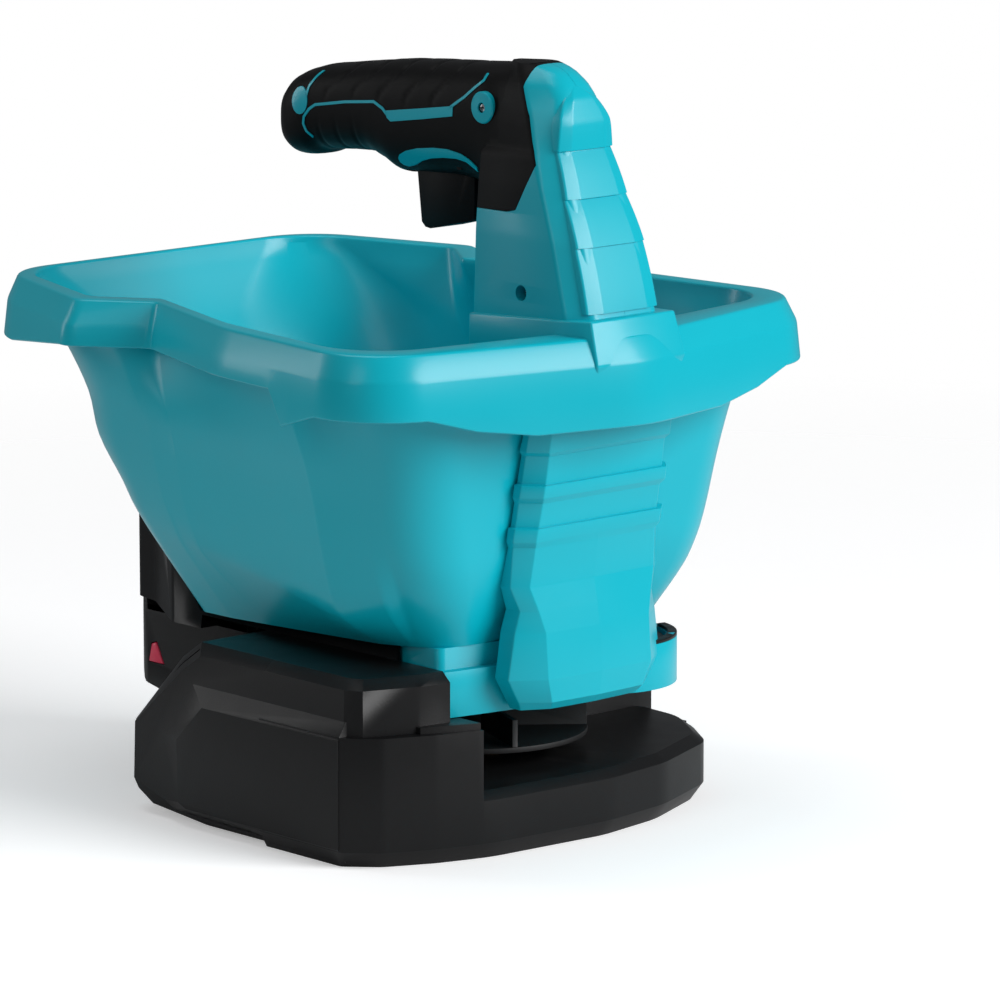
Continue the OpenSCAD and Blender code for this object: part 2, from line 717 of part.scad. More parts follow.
module trigger_switch() {
    color(black) translate([-switch_half, -6, switch_low]) cube([2 * switch_half, 38, 18]);
    color(steel) for (y = [0, 10]) translate([-3, y, switch_low + 18 - eps]) cube([6, 1, 2.6]);
}

// Base housing
block_half = 105;
panel_half = 109.5;
block_profile = [[18, 0], [58, 0], [97.6, 3], [107, 8], [110, 14], [109, 38], [78, 69], [66,
    block_top], [18, block_top]];
raised_foot = [[-30, 2], [79, 5], [85, 8], [86, 36], [66, 60], [-30, 60]];
raised_face = [[-30, 8], [66, 8], [71, 10], [71.5, 36.5], [55, 52.5], [-30, 52.5]];
tray_plan = [[-109, -31, 4], [-97, -43, 10], [-76, -52.5, 40], [-52, -59.5, 60], [10, -63, 60], [46,
    -57, 50],
    [86, -40, 20], [104, -12, 30], [105.5, 20, 6], [-109, 20, 1]];
window_x = -56;

function at_x(x, profile) = [for (p = profile) [x, p[0], p[1]]];

ledge_z = 54;

// The base's outline at one height, drawn in for its chamfers
function tray_ring(side, front, z) =
    rounded([for (q = tray_plan) [q[0] * side, q[1] < 0 ? q[1] + front : q[1], q[2], 4, z]]);
function tray_outline(side, front) = flat(tray_ring(side, front, 0));

module raised_panel() {
    loft_x([at_x(block_half - 1, raised_foot), at_x(block_half, raised_foot), at_x(panel_half,
        raised_face)]);
}

// A solid through profiles that lie at growing x
module loft_x(rings) {
    n = len(rings[0]);
    m = len(rings);
    polyhedron([for (r = rings) each r],
        concat([[for (i = [0:n - 1]) i]],
            [for (j = [0:m - 2], i = [0:n - 1]) each
                [[j * n + i, (j + 1) * n + i, (j + 1) * n + (i + 1) % n],
                 [j * n + i, (j + 1) * n + (i + 1) % n, j * n + (i + 1) % n]]],
            [[for (i = [n - 1:-1:0]) (m - 1) * n + i]]), convexity = 6);
}

function pulled(profile, d) = [for (p = profile) [p[0] > 60 ? p[0] - d : p[0], p[1] > 60 ?
    p[1] - d * 0.9 : p[1] < 9 ? p[1] + d * 0.4 : p[1]]];

chamber_r = 48.8;

module base_outside() {
    // rear block with softened side edges
    loft_x([at_x(-block_half, pulled(block_profile, 5)), at_x(-block_half + 5, block_profile),
        at_x(block_half - 5, block_profile), at_x(block_half, pulled(block_profile, 5))]);
    mirror([1, 0, 0]) raised_panel();
    intersection() {
        raised_panel();
        translate([0, 18, 0]) cube([200, 200, 100]);
    }
    // front left block, its ledge and the shield beside the window
    intersection() {
        translate([0, 0, 10]) linear_extrude(ledge_z - 10) polygon(tray_outline(1, 0));
        translate([-far, -far / 2, 0]) cube([far + window_x, far, far]);
    }
    translate([0, 0, 10]) linear_extrude(neck_low - 10.3)
        polygon([[-80, 0], [-80, -47], [window_x, -56.5], [window_x, -44], [-58, -20], [-58, 0]]);
    translate([0, 0, 50]) linear_extrude(block_top - 50)
        polygon([[-105, 20], [-105, -29], [-101, -36], [-78, -45], [-64, -47], [-64, 20]]);
    // low tray
    loft([tray_ring(0.965, 4, 0), tray_ring(1, 0, 7), tray_ring(1, 0, deck_top - 3.5), tray_ring(0.965,
        4, deck_top)]);
}

module base_housing() {
    w = base_wall;
    ceiling = deck_top - w;
    color(black) difference() {
        union() {
            difference() {
                base_outside();
                // impeller chamber, open to the front and the right
                translate([0, axis_y, deck_top]) cylinder(r = chamber_r, h = 60);
                translate([0, -60, deck_top]) cube([120, 78 - eps, 60]);
                // hollow underneath: tray, motor bay and side blocks
                translate([0, 0, plate]) linear_extrude(ceiling - plate)
                    polygon([[-98, 21], [-98, -28], [-92, -36], [-74, -47], [-52, -54], [10, -57], [44,
                        -51], [80, -36],
                        [97, -10], [97, 21]]);
                along_x(-block_half + w, block_half - w, [[20, -1], [55, -1], [55, 3.2], [95, 5.6],
                    [104.5, 10], [107.3, 15],
                    [106.4, 37], [76.6, 66.5], [65, block_top - w], [60.5, block_top - w], [60.5,
                        ceiling], [20, ceiling]]);
                both() translate([56, 22, -1]) cube([block_half - w - 56, 40, block_top - w + 1]);
                translate([-block_half + w, -24, -1]) cube([36, 50, block_top - w + 1]);
            }
            // bearing, motor shelf and screw bosses
            translate([0, axis_y, deck_top - 8]) cylinder(r = bush_r + 2.5, h = 8 - eps);
            translate([-20, 54, motor_low - 3.4]) cube([40, 48, 3.4]);
            translate([0, motor_y, motor_low - 1]) cylinder(r = motor_r + 2.6, h = 9);
            both() for (q = plate_screws) translate([q[0], q[1], plate + 0.05]) cylinder(r = 4,
                h = ceiling - plate);
            both() for (q = [plate_screws[0], plate_screws[1]])
                translate([q[0], q[1] - 1.5, plate + 0.05]) cube([block_half - 1 - q[0], 3,
                    ceiling - plate]);
        }
        translate([0, 0, -1]) linear_extrude(plate + 1.01) offset_plan(plate_gap);
        translate([0, axis_y, 0]) cylinder(r = bush_r, h = 60);
        screw_ways();
        translate([0, motor_y, motor_low]) cylinder(r = motor_r + 0.05, h = motor_top - motor_low + 1);
        translate([0, motor_y, 10]) cylinder(r = 6.6, h = 20);
        both() for (q = plate_screws) translate([q[0], q[1], -1]) cylinder(r = 1.4, h = 18);
    }
}

bush_r = 8;
plate_gap = 0.2;
plate_screws = [[88, -8], [88, 48], [30, -46]];

// Plan of the bottom plate; d leaves play round it
module offset_plan(d) {
    polygon([[-96 - d, 57 + d], [-96 - d, -26 - d], [-88 - d, -35 - d], [-72 - d, -44 - d], [-50 - d,
        -51.5 - d],
        [10, -54.5 - d], [44 + d, -48.5 - d], [78 + d, -34 - d], [95 + d, -9 - d], [96 + d, 57 + d]]);
}

module base_plate() {
    color(black) difference() {
        union() {
            linear_extrude(plate - plate_gap) offset_plan(0);
            translate([0, axis_y, 0]) cylinder(r = shaft_r + 4, h = gear_z - 0.4);
            translate([-60, 36, plate - 1]) cube([120, 2, 2]);
        }
        translate([0, axis_y, 1.6]) cylinder(r = shaft_r + running_fit, h = 20);
        both() for (q = plate_screws) translate([q[0], q[1], -1]) cylinder(r = 1.7, h = 10);
        both() for (q = plate_screws) translate([q[0], q[1], -1]) cylinder(r = 3.4, h = 2.2);
    }
}

module base_screws() {
    color(steel) {
        both() for (q = plate_screws) translate([q[0], q[1], 1.15]) mirror([0, 0, 1]) translate([0, 0,
            -0.02]) scale(0.45)
            pan_screw(6.4, 3, 26);
    }
}

// Rear housing that carries the battery and the electronics
dock_low = 71;
dock_plan = [[-65, -16, 1], [65, -16, 1], [65, 128, 8], [43, 166, 14], [40, 183.5, 7], [-40, 183.5, 7],
    [-43, 166, 14],
    [-65, 128, 8]];
dock_top = [[-30, floor_z(-30)], [109, floor_z(109)], [133, 109.4], [147, 115.8], [184, 117], [184,
    60], [-30, 60]];

module rear_housing() {
    w = base_wall;
    color(black) difference() {
        intersection() {
            translate([0, 0, dock_low]) linear_extrude(60) polygon(soft(dock_plan, 4));
            along_x(-90, 90, dock_top);
            along_x(-90, 90, [[-30, block_top + 0.02], [64, block_top + 0.02], [108, block_top + 0.02],
                [109, dock_low], [190, dock_low],
                [190, 200], [-30, 200]]);
            difference() {
                cube([far, far, far], center = true);
                tub_outside();
            }
        }
        // electronics space, neck opening, thumbwheel slot and screw ways
        intersection() {
            translate([0, 0, dock_low + w]) linear_extrude(60) polygon(soft(inset(dock_plan, w), 4));
            along_x(-70, 70, [[108, 77.5], [108, 60], [176, 60], [176, 110], [147, 110], [134, 97.5],
                [114, 78]]);
        }
        translate([0, 0, 40]) linear_extrude(60) polygon(soft(inset(neck_skirt, -0.3), 4));
        translate([0, 0, 40]) linear_extrude(60) polygon(soft(inset(neck_upper, -0.3), 4));
        translate([dial_x, dial_y, 40]) cylinder(r = lug_r + 0.3, h = 60);
        screw_ways();
        at_wheel() {
            translate([0, 0, wheel_z - 0.5]) cylinder(r = wheel_r + 0.6, h = wheel_h + 1);
            along_x(wheel_r - 3.6, 30, [[-14, wheel_z - 1], [14, wheel_z - 1], [14,
                wheel_z + wheel_h + 1],
                [8, wheel_z + wheel_h + 3.4], [-8, wheel_z + wheel_h + 3.4], [-14,
                    wheel_z + wheel_h + 1]]);
        }
        translate([-30, 120, dock_low - 1]) cube([60, 8, 6]);
    }
    // posts under the speed board, and rails on both sides of the battery's head
    color(black) at_wheel() for (y = [-6, 6]) translate([-9, y, dock_low + w - 1])
        cylinder(r = 2.5, h = wheel_z - 3.42 - dock_low - w + 1);
    color(black) both() difference() {
        translate([pack_half - 6, 112, dock_low - 6]) cube([6.4, 66, 6.2]);
        translate([pack_half - 8, 110, dock_low - 3.4]) cube([4.6, 70, 6]);
    }
}

module dock_terminals() {
    color(black) translate([-18, 112, dock_low - 3.6]) cube([36, 8, 3.58]);
    color(brass) for (x = [-12, 0, 12]) translate([x - 0.5, 120, dock_low - 2.8]) cube([1, 12, 2]);
}

// Thumbwheel for the speed in the side of the rear housing
wheel_r = 12;
wheel_x = 46.2;
wheel_y = 141.8;
wheel_z = 86;
wheel_h = 5;
wheel_aim = 30;

module at_wheel() {
    translate([wheel_x, wheel_y, 0]) rotate([0, 0, wheel_aim]) children();
}

module speed_wheel() {
    color(red) at_wheel() translate([0, 0, wheel_z]) difference() {
        linear_extrude(wheel_h) polygon([for (k = [0:71]) let (group = floor(k / 2) % 6,
            r = group == 5 ? wheel_r - 0.5
            : k % 2 == 0 ? wheel_r : wheel_r - 0.7) [r * cos(k * 5), r * sin(k * 5)]]);
        translate([0, 0, -1]) cylinder(r = 2 + running_fit, h = wheel_h + 2);
    }
}

module speed_board() {
    color(grey) at_wheel() translate([-14, -11, wheel_z - 3.4]) cube([19, 22, 2.4]);
    color(steel) at_wheel() translate([0, 0, wheel_z - 1 - eps]) cylinder(r = 2, h = wheel_h + 2);
}

// Battery pack
pack_front = 112;
pack_low = 30;
pack_top = dock_low - slide_gap;
pack_side = [[pack_front, 38], [pack_front + 5, pack_low + 2], [168, pack_low], [181, 32.6],
    [pack_rear, 40.6], [pack_rear - 3, pack_top],
    [pack_front, pack_top]];

module battery_case() {
    color(black) difference() {
        union() {
            intersection() {
                along_x(-pack_half, pack_half, pack_side);
                translate([0, 0, pack_low - 1]) linear_extrude(60) polygon(soft([[-pack_half,
                    pack_front, 3], [pack_half, pack_front, 3],
                    [pack_half, pack_rear, 8], [-pack_half, pack_rear, 8]], 4));
            }
        }
        // grooves that take the dock's rails, and the terminal slot
        both() translate([pack_half - 6 - slide_gap, pack_front - 1, dock_low - 6 - slide_gap])
            cube([12, 68, 12]);
        both() translate([pack_half - 8 - slide_gap, pack_front - 1, dock_low - 3.4 + slide_gap])
            cube([12, 68, 12]);
        translate([-19, pack_front - 1, dock_low - 4.2]) cube([38, 22, 8]);
        both() latch_seat(0.35);
        translate([-24, pack_rear - 1.2, 42]) cube([48, 4, 2]);
        translate([-24, pack_rear - 1.2, 48]) cube([48, 4, 2]);
    }
}

module battery_terminals() {
    color(brass) for (x = [-12, 0, 12]) for (s = [-1, 1]) translate([x + s * 1.3 - 0.4, pack_front + 9,
        dock_low - 4.18]) cube([0.8, 9, 2.6]);
}

// Red squeeze button in each side of the pack
module latch_seat(d) {
    along_x(pack_half - 6.2 - d, pack_half + 2, [[168 - d, 42 - d], [178 + d, 42 - d], [176 + d,
        50 + d], [173 - d, 51 + d]]);
}

module latch(side) {
    color(red) mirror([side < 0 ? 1 : 0, 0, 0]) intersection() {
        latch_seat(0);
        translate([pack_half - 4, 150, 30]) cube([4.3, 60, 40]);
    }
}

module latch_left() {
    latch(-1);
}

module latch_right() {
    latch(1);
}

// Motor with its shaft down, and the train to the impeller
motor_low = 26;
motor_top = 50;

module motor() {
    color(steel) translate([0, motor_y, 0]) difference() {
        union() {
            translate([0, 0, motor_low]) cylinder(r = motor_r, h = motor_top - motor_low);
            translate([0, 0, motor_low - 2]) cylinder(r = 6, h = 3);
            translate([0, 0, motor_top - eps]) cylinder(r = 5, h = 2.5);
        }
        translate([0, 0, motor_low - 3]) cylinder(r = 1.6 + running_fit, h = 20);
    }
}

module motor_pinion() {
    color(brass) translate([0, motor_y, gear_z - 0.5]) rotate([0, 0, -90 + 180 / pinion_teeth])
        linear_extrude(gear_h + 1) polygon(gear_points(drive_module, pinion_teeth));
    color(steel) translate([0, motor_y, gear_z + gear_h + 0.5 - eps]) cylinder(r = 1.6,
        h = motor_low + 12 - gear_z - gear_h);
}

module drive_gear() {
    color(grey) translate([0, axis_y, gear_z]) difference() {
        union() {
            rotate([0, 0, 90]) linear_extrude(gear_h) polygon(gear_points(drive_module, drive_teeth));
            cylinder(r = shaft_r + 4.5, h = 11);
        }
        translate([0, 0, -1]) cylinder(r = shaft_r, h = 30);
        for (s = [-1, 4.6]) translate([0, 0, s]) ring_solid(gear_r - 6, shaft_r + 4.5, 3.4);
        for (a = [0:60:300]) rotate([0, 0, a + 30]) translate([30, 0, -1]) cylinder(r = 9, h = 20);
    }
}

module impeller_shaft() {
    color(steel) translate([0, axis_y, 2]) cylinder(r = shaft_r, h = 98);
}

module shaft_bush() {
    color(brass) translate([0, axis_y, deck_top - 8]) {
        ring_solid(bush_r, shaft_r + running_fit, 8);
        translate([0, 0, 8]) ring_solid(bush_r + 1.5, shaft_r + running_fit, 1.2);
    }
}

module shaft_seal() {
    color(black) translate([0, axis_y, seal_z]) ring_solid(seal_r, shaft_r + running_fit, 9.5);
}

first_blade = -112;

module impeller() {
    color(grey) translate([0, axis_y, 0]) difference() {
        union() {
            translate([0, 0, disc_z]) cylinder(r = impeller_r, h = disc_h, $fn = 96);
            translate([0, 0, disc_z - 3.4]) cylinder(r = shaft_r + 4, h = disc_h + 12);
            for (k = [0:blades - 1]) rotate([0, 0, first_blade + k * 360 / blades])
                translate([shaft_r + 1, -1.15, disc_z + disc_h - eps])
                    cube([impeller_r - shaft_r - 1.4, 2.3, blade_height]);
        }
        translate([0, 0, 20]) cylinder(r = shaft_r, h = 60);
    }
}

module agitator() {
    color(steel) translate([0, axis_y, 90]) {
        ring_solid(shaft_r + 3, shaft_r, 9);
        for (a = [0, 180]) rotate([0, 0, a]) translate([shaft_r + 2, 0, 5]) rotate([0, 68, 0])
            cylinder(r = 1.5, h = 24);
    }
}

// Metering disc: a slot that tapers over the dial's whole turn
gate_turn = dial_turn * dial_teeth / gate_teeth;
function taper(t) = port_r * (1 - t) + 0.4;

module metering_disc() {
    steps = 24;
    color(grey) translate([0, axis_y, gate_z]) difference() {
        rotate([0, 0, dial_angle]) linear_extrude(gate_h) polygon(gear_points(gate_module, gate_teeth));
        translate([0, 0, -1]) cylinder(r = shaft_r + 3.2 + running_fit, h = 10);
        translate([0, 0, -1]) linear_extrude(10) polygon(concat(
            [for (k = [0:steps]) let (a = port_angle - k / steps * (gate_turn - 24),
                r = port_ring + taper(k / steps)) [r * cos(a), r * sin(a)]],
            [for (k = [steps:-1:0]) let (a = port_angle - k / steps * (gate_turn - 24),
                r = port_ring - taper(k / steps)) [r * cos(a), r * sin(a)]]));
        rotate([0, 0, port_angle]) translate([port_ring, 0, -1]) cylinder(r = port_r + 0.4, h = 10);
    }
}

// Flow dial: numbered face, cross slot for a fingertip or coin, and its gear
module flow_dial() {
    color(grey) translate([dial_x, dial_y, 0]) difference() {
        union() {
            translate([0, 0, gate_z]) rotate([0, 0, 180 + dial_angle + 180 / dial_teeth])
                linear_extrude(gate_h) polygon(gear_points(gate_module, dial_teeth));
            translate([0, 0, gate_z + gate_h - eps]) cylinder(r = 12, h = 3);
            translate([0, 0, gate_z + gate_h + 1]) cylinder(r = dial_r,
                h = dial_face_z - gate_z - gate_h - 1, $fn = 96);
            translate([0, 0, dial_face_z - eps]) ring_solid(8.5, 6.4, 0.8);
        }
        translate([0, 0, gate_z - 1]) cylinder(r = 4 + running_fit, h = dial_face_z - 1.6 - gate_z);
        for (a = [0, 90]) rotate([0, 0, a]) translate([-4.6, -1.4, dial_face_z - 1.4]) cube([9.2, 2.8,
            3]);
    }
}

module dial_bezel() {
    color(black) translate([dial_x, dial_y, lug_top + 0.02]) linear_extrude(1.4) polygon(concat(
        [for (a = [-100:6:-10]) [lug_r * cos(a), lug_r * sin(a)]],
        [for (a = [-10:-6:-100]) [(dial_r + 1.6) * cos(a), (dial_r + 1.6) * sin(a)]]));
}

hopper();
front_column();
neck_housing();
post_left();
post_right();
post_panel();
grip_left();
grip_right();
grip_inlay();
handle_screws();
trigger();
trigger_pin();
trigger_spring();
trigger_switch();
hopper_screws();
base_housing();
base_plate();
base_screws();
rear_housing();
dock_terminals();
speed_wheel();
speed_board();
battery_case();
battery_terminals();
latch_left();
latch_right();
motor();
motor_pinion();
drive_gear();
impeller_shaft();
shaft_bush();
shaft_seal();
impeller();
agitator();
metering_disc();
flow_dial();
dial_bezel();
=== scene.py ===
"""Visual model of a handheld spreader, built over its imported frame, as an add-on run as a script."""
import json
import math

import bmesh
import bpy
from mathutils import Matrix, Vector
from mathutils.bvhtree import BVHTree


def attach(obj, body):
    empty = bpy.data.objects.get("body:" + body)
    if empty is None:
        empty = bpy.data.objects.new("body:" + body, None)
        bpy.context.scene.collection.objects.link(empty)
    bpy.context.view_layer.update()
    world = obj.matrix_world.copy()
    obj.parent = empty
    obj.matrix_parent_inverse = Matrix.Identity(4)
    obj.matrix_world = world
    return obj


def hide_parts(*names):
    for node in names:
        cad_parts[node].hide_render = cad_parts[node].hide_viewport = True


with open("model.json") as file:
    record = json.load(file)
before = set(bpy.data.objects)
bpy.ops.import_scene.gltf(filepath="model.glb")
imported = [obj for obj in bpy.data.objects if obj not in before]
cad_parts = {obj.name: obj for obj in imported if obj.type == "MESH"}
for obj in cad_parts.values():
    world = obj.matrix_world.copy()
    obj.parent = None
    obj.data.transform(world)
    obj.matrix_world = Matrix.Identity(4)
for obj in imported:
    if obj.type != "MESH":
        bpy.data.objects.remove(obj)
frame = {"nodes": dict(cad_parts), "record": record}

bl_info = {
    "name": "Handheld Spreader Visual",
    "version": (1, 0, 0),
    "blender": (4, 5, 0),
    "location": "3D View > Sidebar > Spreader",
    "description": "Builds the pieces, finishes and studio of a handheld spreader over its frame",
    "category": "Add Mesh",
}

MM = 0.001
SHAFT_Y = 8.0
PHOTO_CAMERA = Vector((-1.76506, -1.95296, 0.63513))
PHOTO_LOOK = Vector((0.6598, 0.7277, -0.1874))
PHOTO_LENS = 234.0
SENSOR = 36.0


# Shapes from rings

def mm(length):
    """A property's length, which is in metres, in millimetres."""
    return length / MM


def unit(x, y):
    size = math.hypot(x, y) or 1.0
    return x / size, y / size


def rounded(corners):
    """Points of a closed outline whose corners are (x, y, radius, steps, z); no steps keeps the point."""
    points = []
    count = len(corners)
    for i, (bx, by, radius, steps, bz) in enumerate(corners):
        if not steps:
            points.append((bx, by, bz))
            continue
        ax, ay = corners[i - 1][:2]
        cx, cy = corners[(i + 1) % count][:2]
        ux, uy = unit(ax - bx, ay - by)
        wx, wy = unit(cx - bx, cy - by)
        half = math.acos(max(-1.0, min(1.0, ux * wx + uy * wy))) / 2
        reach = radius / math.tan(half)
        mx, my = unit(ux + wx, uy + wy)
        ox, oy = bx + mx * radius / math.sin(half), by + my * radius / math.sin(half)
        start = math.atan2(by + uy * reach - oy, bx + ux * reach - ox)
        end = math.atan2(by + wy * reach - oy, bx + wx * reach - ox)
        turn = (end - start + 3 * math.pi) % (2 * math.pi) - math.pi
        for k in range(steps + 1):
            a = start + turn * k / steps
            points.append((ox + radius * math.cos(a), oy + radius * math.sin(a), bz))
    return points


def mirrored(half, *middle):
    """An outline's corners from those of its left half, with any corners of the middle plane between."""
    return half + list(middle) + [(-x, *rest) for x, *rest in reversed(half)]


def with_gaps(points, steps_list, gap):
    """Adds gap points on each straight run between corners; steps_list holds each corner's steps."""
    out = []
    i = 0
    for steps in steps_list:
        run = points[i:i + (steps or 0) + 1]
        i += len(run)
        out.extend(run)
        nxt = points[i % len(points)]
        last = run[-1]
        for k in range(1, gap + 1):
            out.append(tuple(last[c] + (nxt[c] - last[c]) * k / (gap + 1) for c in range(3)))
    return out


def blend_rings(rings, between):
    """Rings of equal length with smooth curves drawn through them from ring to ring."""
    reach = [0.0]
    for a, b in zip(rings, rings[1:]):
        reach.append(reach[-1] + sum(math.dist(p, q) for p, q in zip(a, b)) / len(a))
    out = []
    last = len(rings) - 1
    for k in range(last):
        h = reach[k + 1] - reach[k]
        before, after = max(0, k - 1), min(last, k + 2)
        for s in range(between + 1):
            t = s / (between + 1)
            w = (2 * t ** 3 - 3 * t * t + 1, t ** 3 - 2 * t * t + t, 3 * t * t - 2 * t ** 3, t ** 3 - t * t)
            ring = []
            for i, (p, q) in enumerate(zip(rings[k], rings[k + 1])):
                m0 = [(q[c] - rings[before][i][c]) / (reach[k + 1] - reach[before]) * h for c in range(3)]
                m1 = [(rings[after][i][c] - p[c]) / (reach[after] - reach[k]) * h for c in range(3)]
                ring.append(tuple(w[0] * p[c] + w[1] * m0[c] + w[2] * q[c] + w[3] * m1[c] for c in range(3)))
            out.append(ring)
    out.append(list(rings[-1]))
    return out


def loft(name, rings, creases=()):
    """A closed mesh through rings in millimetres; the rings numbered in creases get the bevel weight."""
    bm = bmesh.new()
    weight = bm.edges.layers.float.new("bevel_weight_edge")
    loops = [[bm.verts.new((x * MM, y * MM, z * MM)) for x, y, z in ring] for ring in rings]
    count = len(rings[0])
    for low, high in zip(loops, loops[1:]):
        for i in range(count):
            j = (i + 1) % count
            bm.faces.new((low[i], low[j], high[j], high[i]))
    bm.faces.new(list(reversed(loops[0])))
    bm.faces.new(loops[-1])
    for k in creases:
        for i in range(count):
            edge = bm.edges.get((loops[k][i], loops[k][(i + 1) % count]))
            edge[weight] = 1.0
    bmesh.ops.remove_doubles(bm, verts=bm.verts, dist=1e-7)
    bmesh.ops.recalc_face_normals(bm, faces=bm.faces)
    return to_object(bm, name)


def prism(name, outline, low, high, axis="x"):
    """An outline pushed along an axis from low to high: (y, z) points for x, (x, y) points for z."""
    bm = bmesh.new()
    spots = [[(at, a, b) if axis == "x" else (a, b, at) for a, b in outline] for at in (low, high)]
    rings = [[bm.verts.new(Vector(p) * MM) for p in ring] for ring in spots]
    count = len(outline)
    for i in range(count):
        j = (i + 1) % count
        bm.faces.new((rings[0][i], rings[0][j], rings[1][j], rings[1][i]))
    bm.faces.new(list(reversed(rings[0])))
    bm.faces.new(rings[1])
    bmesh.ops.recalc_face_normals(bm, faces=bm.faces)
    return to_object(bm, name)


def lathe(name, profile, centre, axis="z", steps=48):
    """A closed turned solid from (radius, height) points in millimetres about an axis through centre."""
    bm = bmesh.new()
    cx, cy, cz = centre
    rings = []
    for radius, height in profile:
        ring = []
        for k in range(steps):
            a = 2 * math.pi * k / steps
            u, v = radius * math.cos(a), radius * math.sin(a)
            spot = (cx + u, cy + v, cz + height) if axis == "z" else (cx + height, cy + u, cz + v)
            ring.append(bm.verts.new(Vector(spot) * MM))
        rings.append(ring)
    for low, high in zip(rings, rings[1:]):
        for i in range(steps):
            j = (i + 1) % steps
            bm.faces.new((low[i], low[j], high[j], high[i]))
    bm.faces.new(list(reversed(rings[0])))
    bm.faces.new(rings[-1])
    bmesh.ops.remove_doubles(bm, verts=bm.verts, dist=1e-7)
    bmesh.ops.recalc_face_normals(bm, faces=bm.faces)
    return to_object(bm, name)


def ribbon(path, width):
    """The outline of a line of (y, z) points with a width, both in millimetres."""
    left, right = [], []
    for i, (y, z) in enumerate(path):
        a, b = path[max(0, i - 1)], path[min(len(path) - 1, i + 1)]
        dy, dz = unit(b[0] - a[0], b[1] - a[1])
        left.append((y - dz * width / 2, z + dy * width / 2))
        right.append((y + dz * width / 2, z - dy * width / 2))
    return left + right[::-1]


def disc_outline(centre, radius, squeeze=1.0, steps=40):
    return [(centre[0] + radius * squeeze * math.cos(2 * math.pi * k / steps),
             centre[1] + radius * math.sin(2 * math.pi * k / steps)) for k in range(steps)]


# Objects and modifiers

def to_object(bm, name):
    mesh = bpy.data.meshes.new(name)
    bm.to_mesh(mesh)
    bm.free()
    obj = bpy.data.objects.new(name, mesh)
    bpy.context.scene.collection.objects.link(obj)
    return obj


def drop(*objects):
    for obj in objects:
        bpy.data.objects.remove(obj, do_unlink=True)


def applied(obj):
    """Turns the evaluated object into its own plain mesh."""
    graph = bpy.context.evaluated_depsgraph_get()
    graph.update()
    mesh = bpy.data.meshes.new_from_object(obj.evaluated_get(graph))
    obj.modifiers.clear()
    obj.data = mesh
    return obj


def bevelled(obj, width, angle=None, segments=3):
    """Rounds weighted edges, or all edges sharper than an angle in degrees."""
    mod = obj.modifiers.new("Round edges", "BEVEL")
    mod.width = width * MM
    mod.segments = segments
    mod.limit_method = "WEIGHT" if angle is None else "ANGLE"
    if angle is not None:
        mod.angle_limit = math.radians(angle)
    mod.use_clamp_overlap = True
    mod.miter_outer = "MITER_SHARP"
    return applied(obj)


def combined(obj, operation, *others):
    for other in others:
        mod = obj.modifiers.new("Cut", "BOOLEAN")
        mod.operation = operation
        mod.solver = "EXACT"
        mod.object = other
    applied(obj)
    if not len(obj.data.polygons):
        raise RuntimeError(f"{obj.name} lost its faces in a {operation.lower()}")
    drop(*others)
    return obj


def twin(obj, name):
    copy = bpy.data.objects.new(name, obj.data.copy())
    bpy.context.scene.collection.objects.link(copy)
    return copy


def joined(name, objects):
    """Several meshes as one object; each keeps its own shell."""
    bm = bmesh.new()
    for obj in objects:
        bm.from_mesh(obj.data)
    drop(*objects)
    return to_object(bm, name)


def halved(obj, name, side, gap=0.06):
    """The part of a closed mesh on one side of the middle plane, closed again at the seam."""
    bm = bmesh.new()
    bm.from_mesh(obj.data)
    bmesh.ops.bisect_plane(bm, geom=bm.verts[:] + bm.edges[:] + bm.faces[:], dist=1e-7,
                           plane_co=(side * gap * MM, 0, 0), plane_no=(side, 0, 0), clear_inner=True)
    rim = [e for e in bm.edges if e.is_boundary]
    bmesh.ops.holes_fill(bm, edges=rim, sides=0)
    bmesh.ops.recalc_face_normals(bm, faces=bm.faces)
    return to_object(bm, name)


def cad_copy(name, *nodes):
    """A clean, merged copy of CAD nodes' meshes, with flat areas dissolved into whole faces."""
    bm = bmesh.new()
    for node in nodes:
        bm.from_mesh(frame["nodes"][node].data)
    bmesh.ops.remove_doubles(bm, verts=bm.verts, dist=2e-6)
    bmesh.ops.dissolve_limit(bm, angle_limit=math.radians(1.5), verts=bm.verts, edges=bm.edges)
    return to_object(bm, name)


def softened(name, node, width, angle=28):
    """A CAD node's own shape with its edges rounded as a moulding's are."""
    return bevelled(cad_copy(name, node), width, angle, 2)


def shaded(obj, angle=32):
    obj.data.shade_smooth()
    obj.data.set_sharp_from_angle(angle=math.radians(angle))
    return obj


def settle(obj, body, finish, *nodes, slot=None, angle=32):
    """Gives a finished piece its finish and body, and hides the CAD nodes that it stands for; slot is not
    used.
    """
    shaded(obj, angle)
    obj.data.materials.clear()
    obj.data.materials.append(MATERIALS[finish])
    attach(obj, body)
    if nodes:
        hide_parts(*nodes)
    return obj


def body_of(node):
    for body, nodes in frame["record"]["behaviour"]["bodies"].items():
        if node in nodes:
            return body
    raise RuntimeError(f"no body holds {node}")


def surface_hit(node, origin, direction):
    """Where a ray in millimetres meets a CAD node: the spot in millimetres and its outward normal."""
    bm = bmesh.new()
    bm.from_mesh(frame["nodes"][node].data)
    tree = BVHTree.FromBMesh(bm)
    spot, normal, _, _ = tree.ray_cast(Vector(origin) * MM, Vector(direction))
    bm.free()
    if spot is None:
        raise RuntimeError(f"nothing of {node} lies along the ray")
    if normal.dot(Vector(direction)) > 0:
        normal.negate()
    return spot / MM, normal


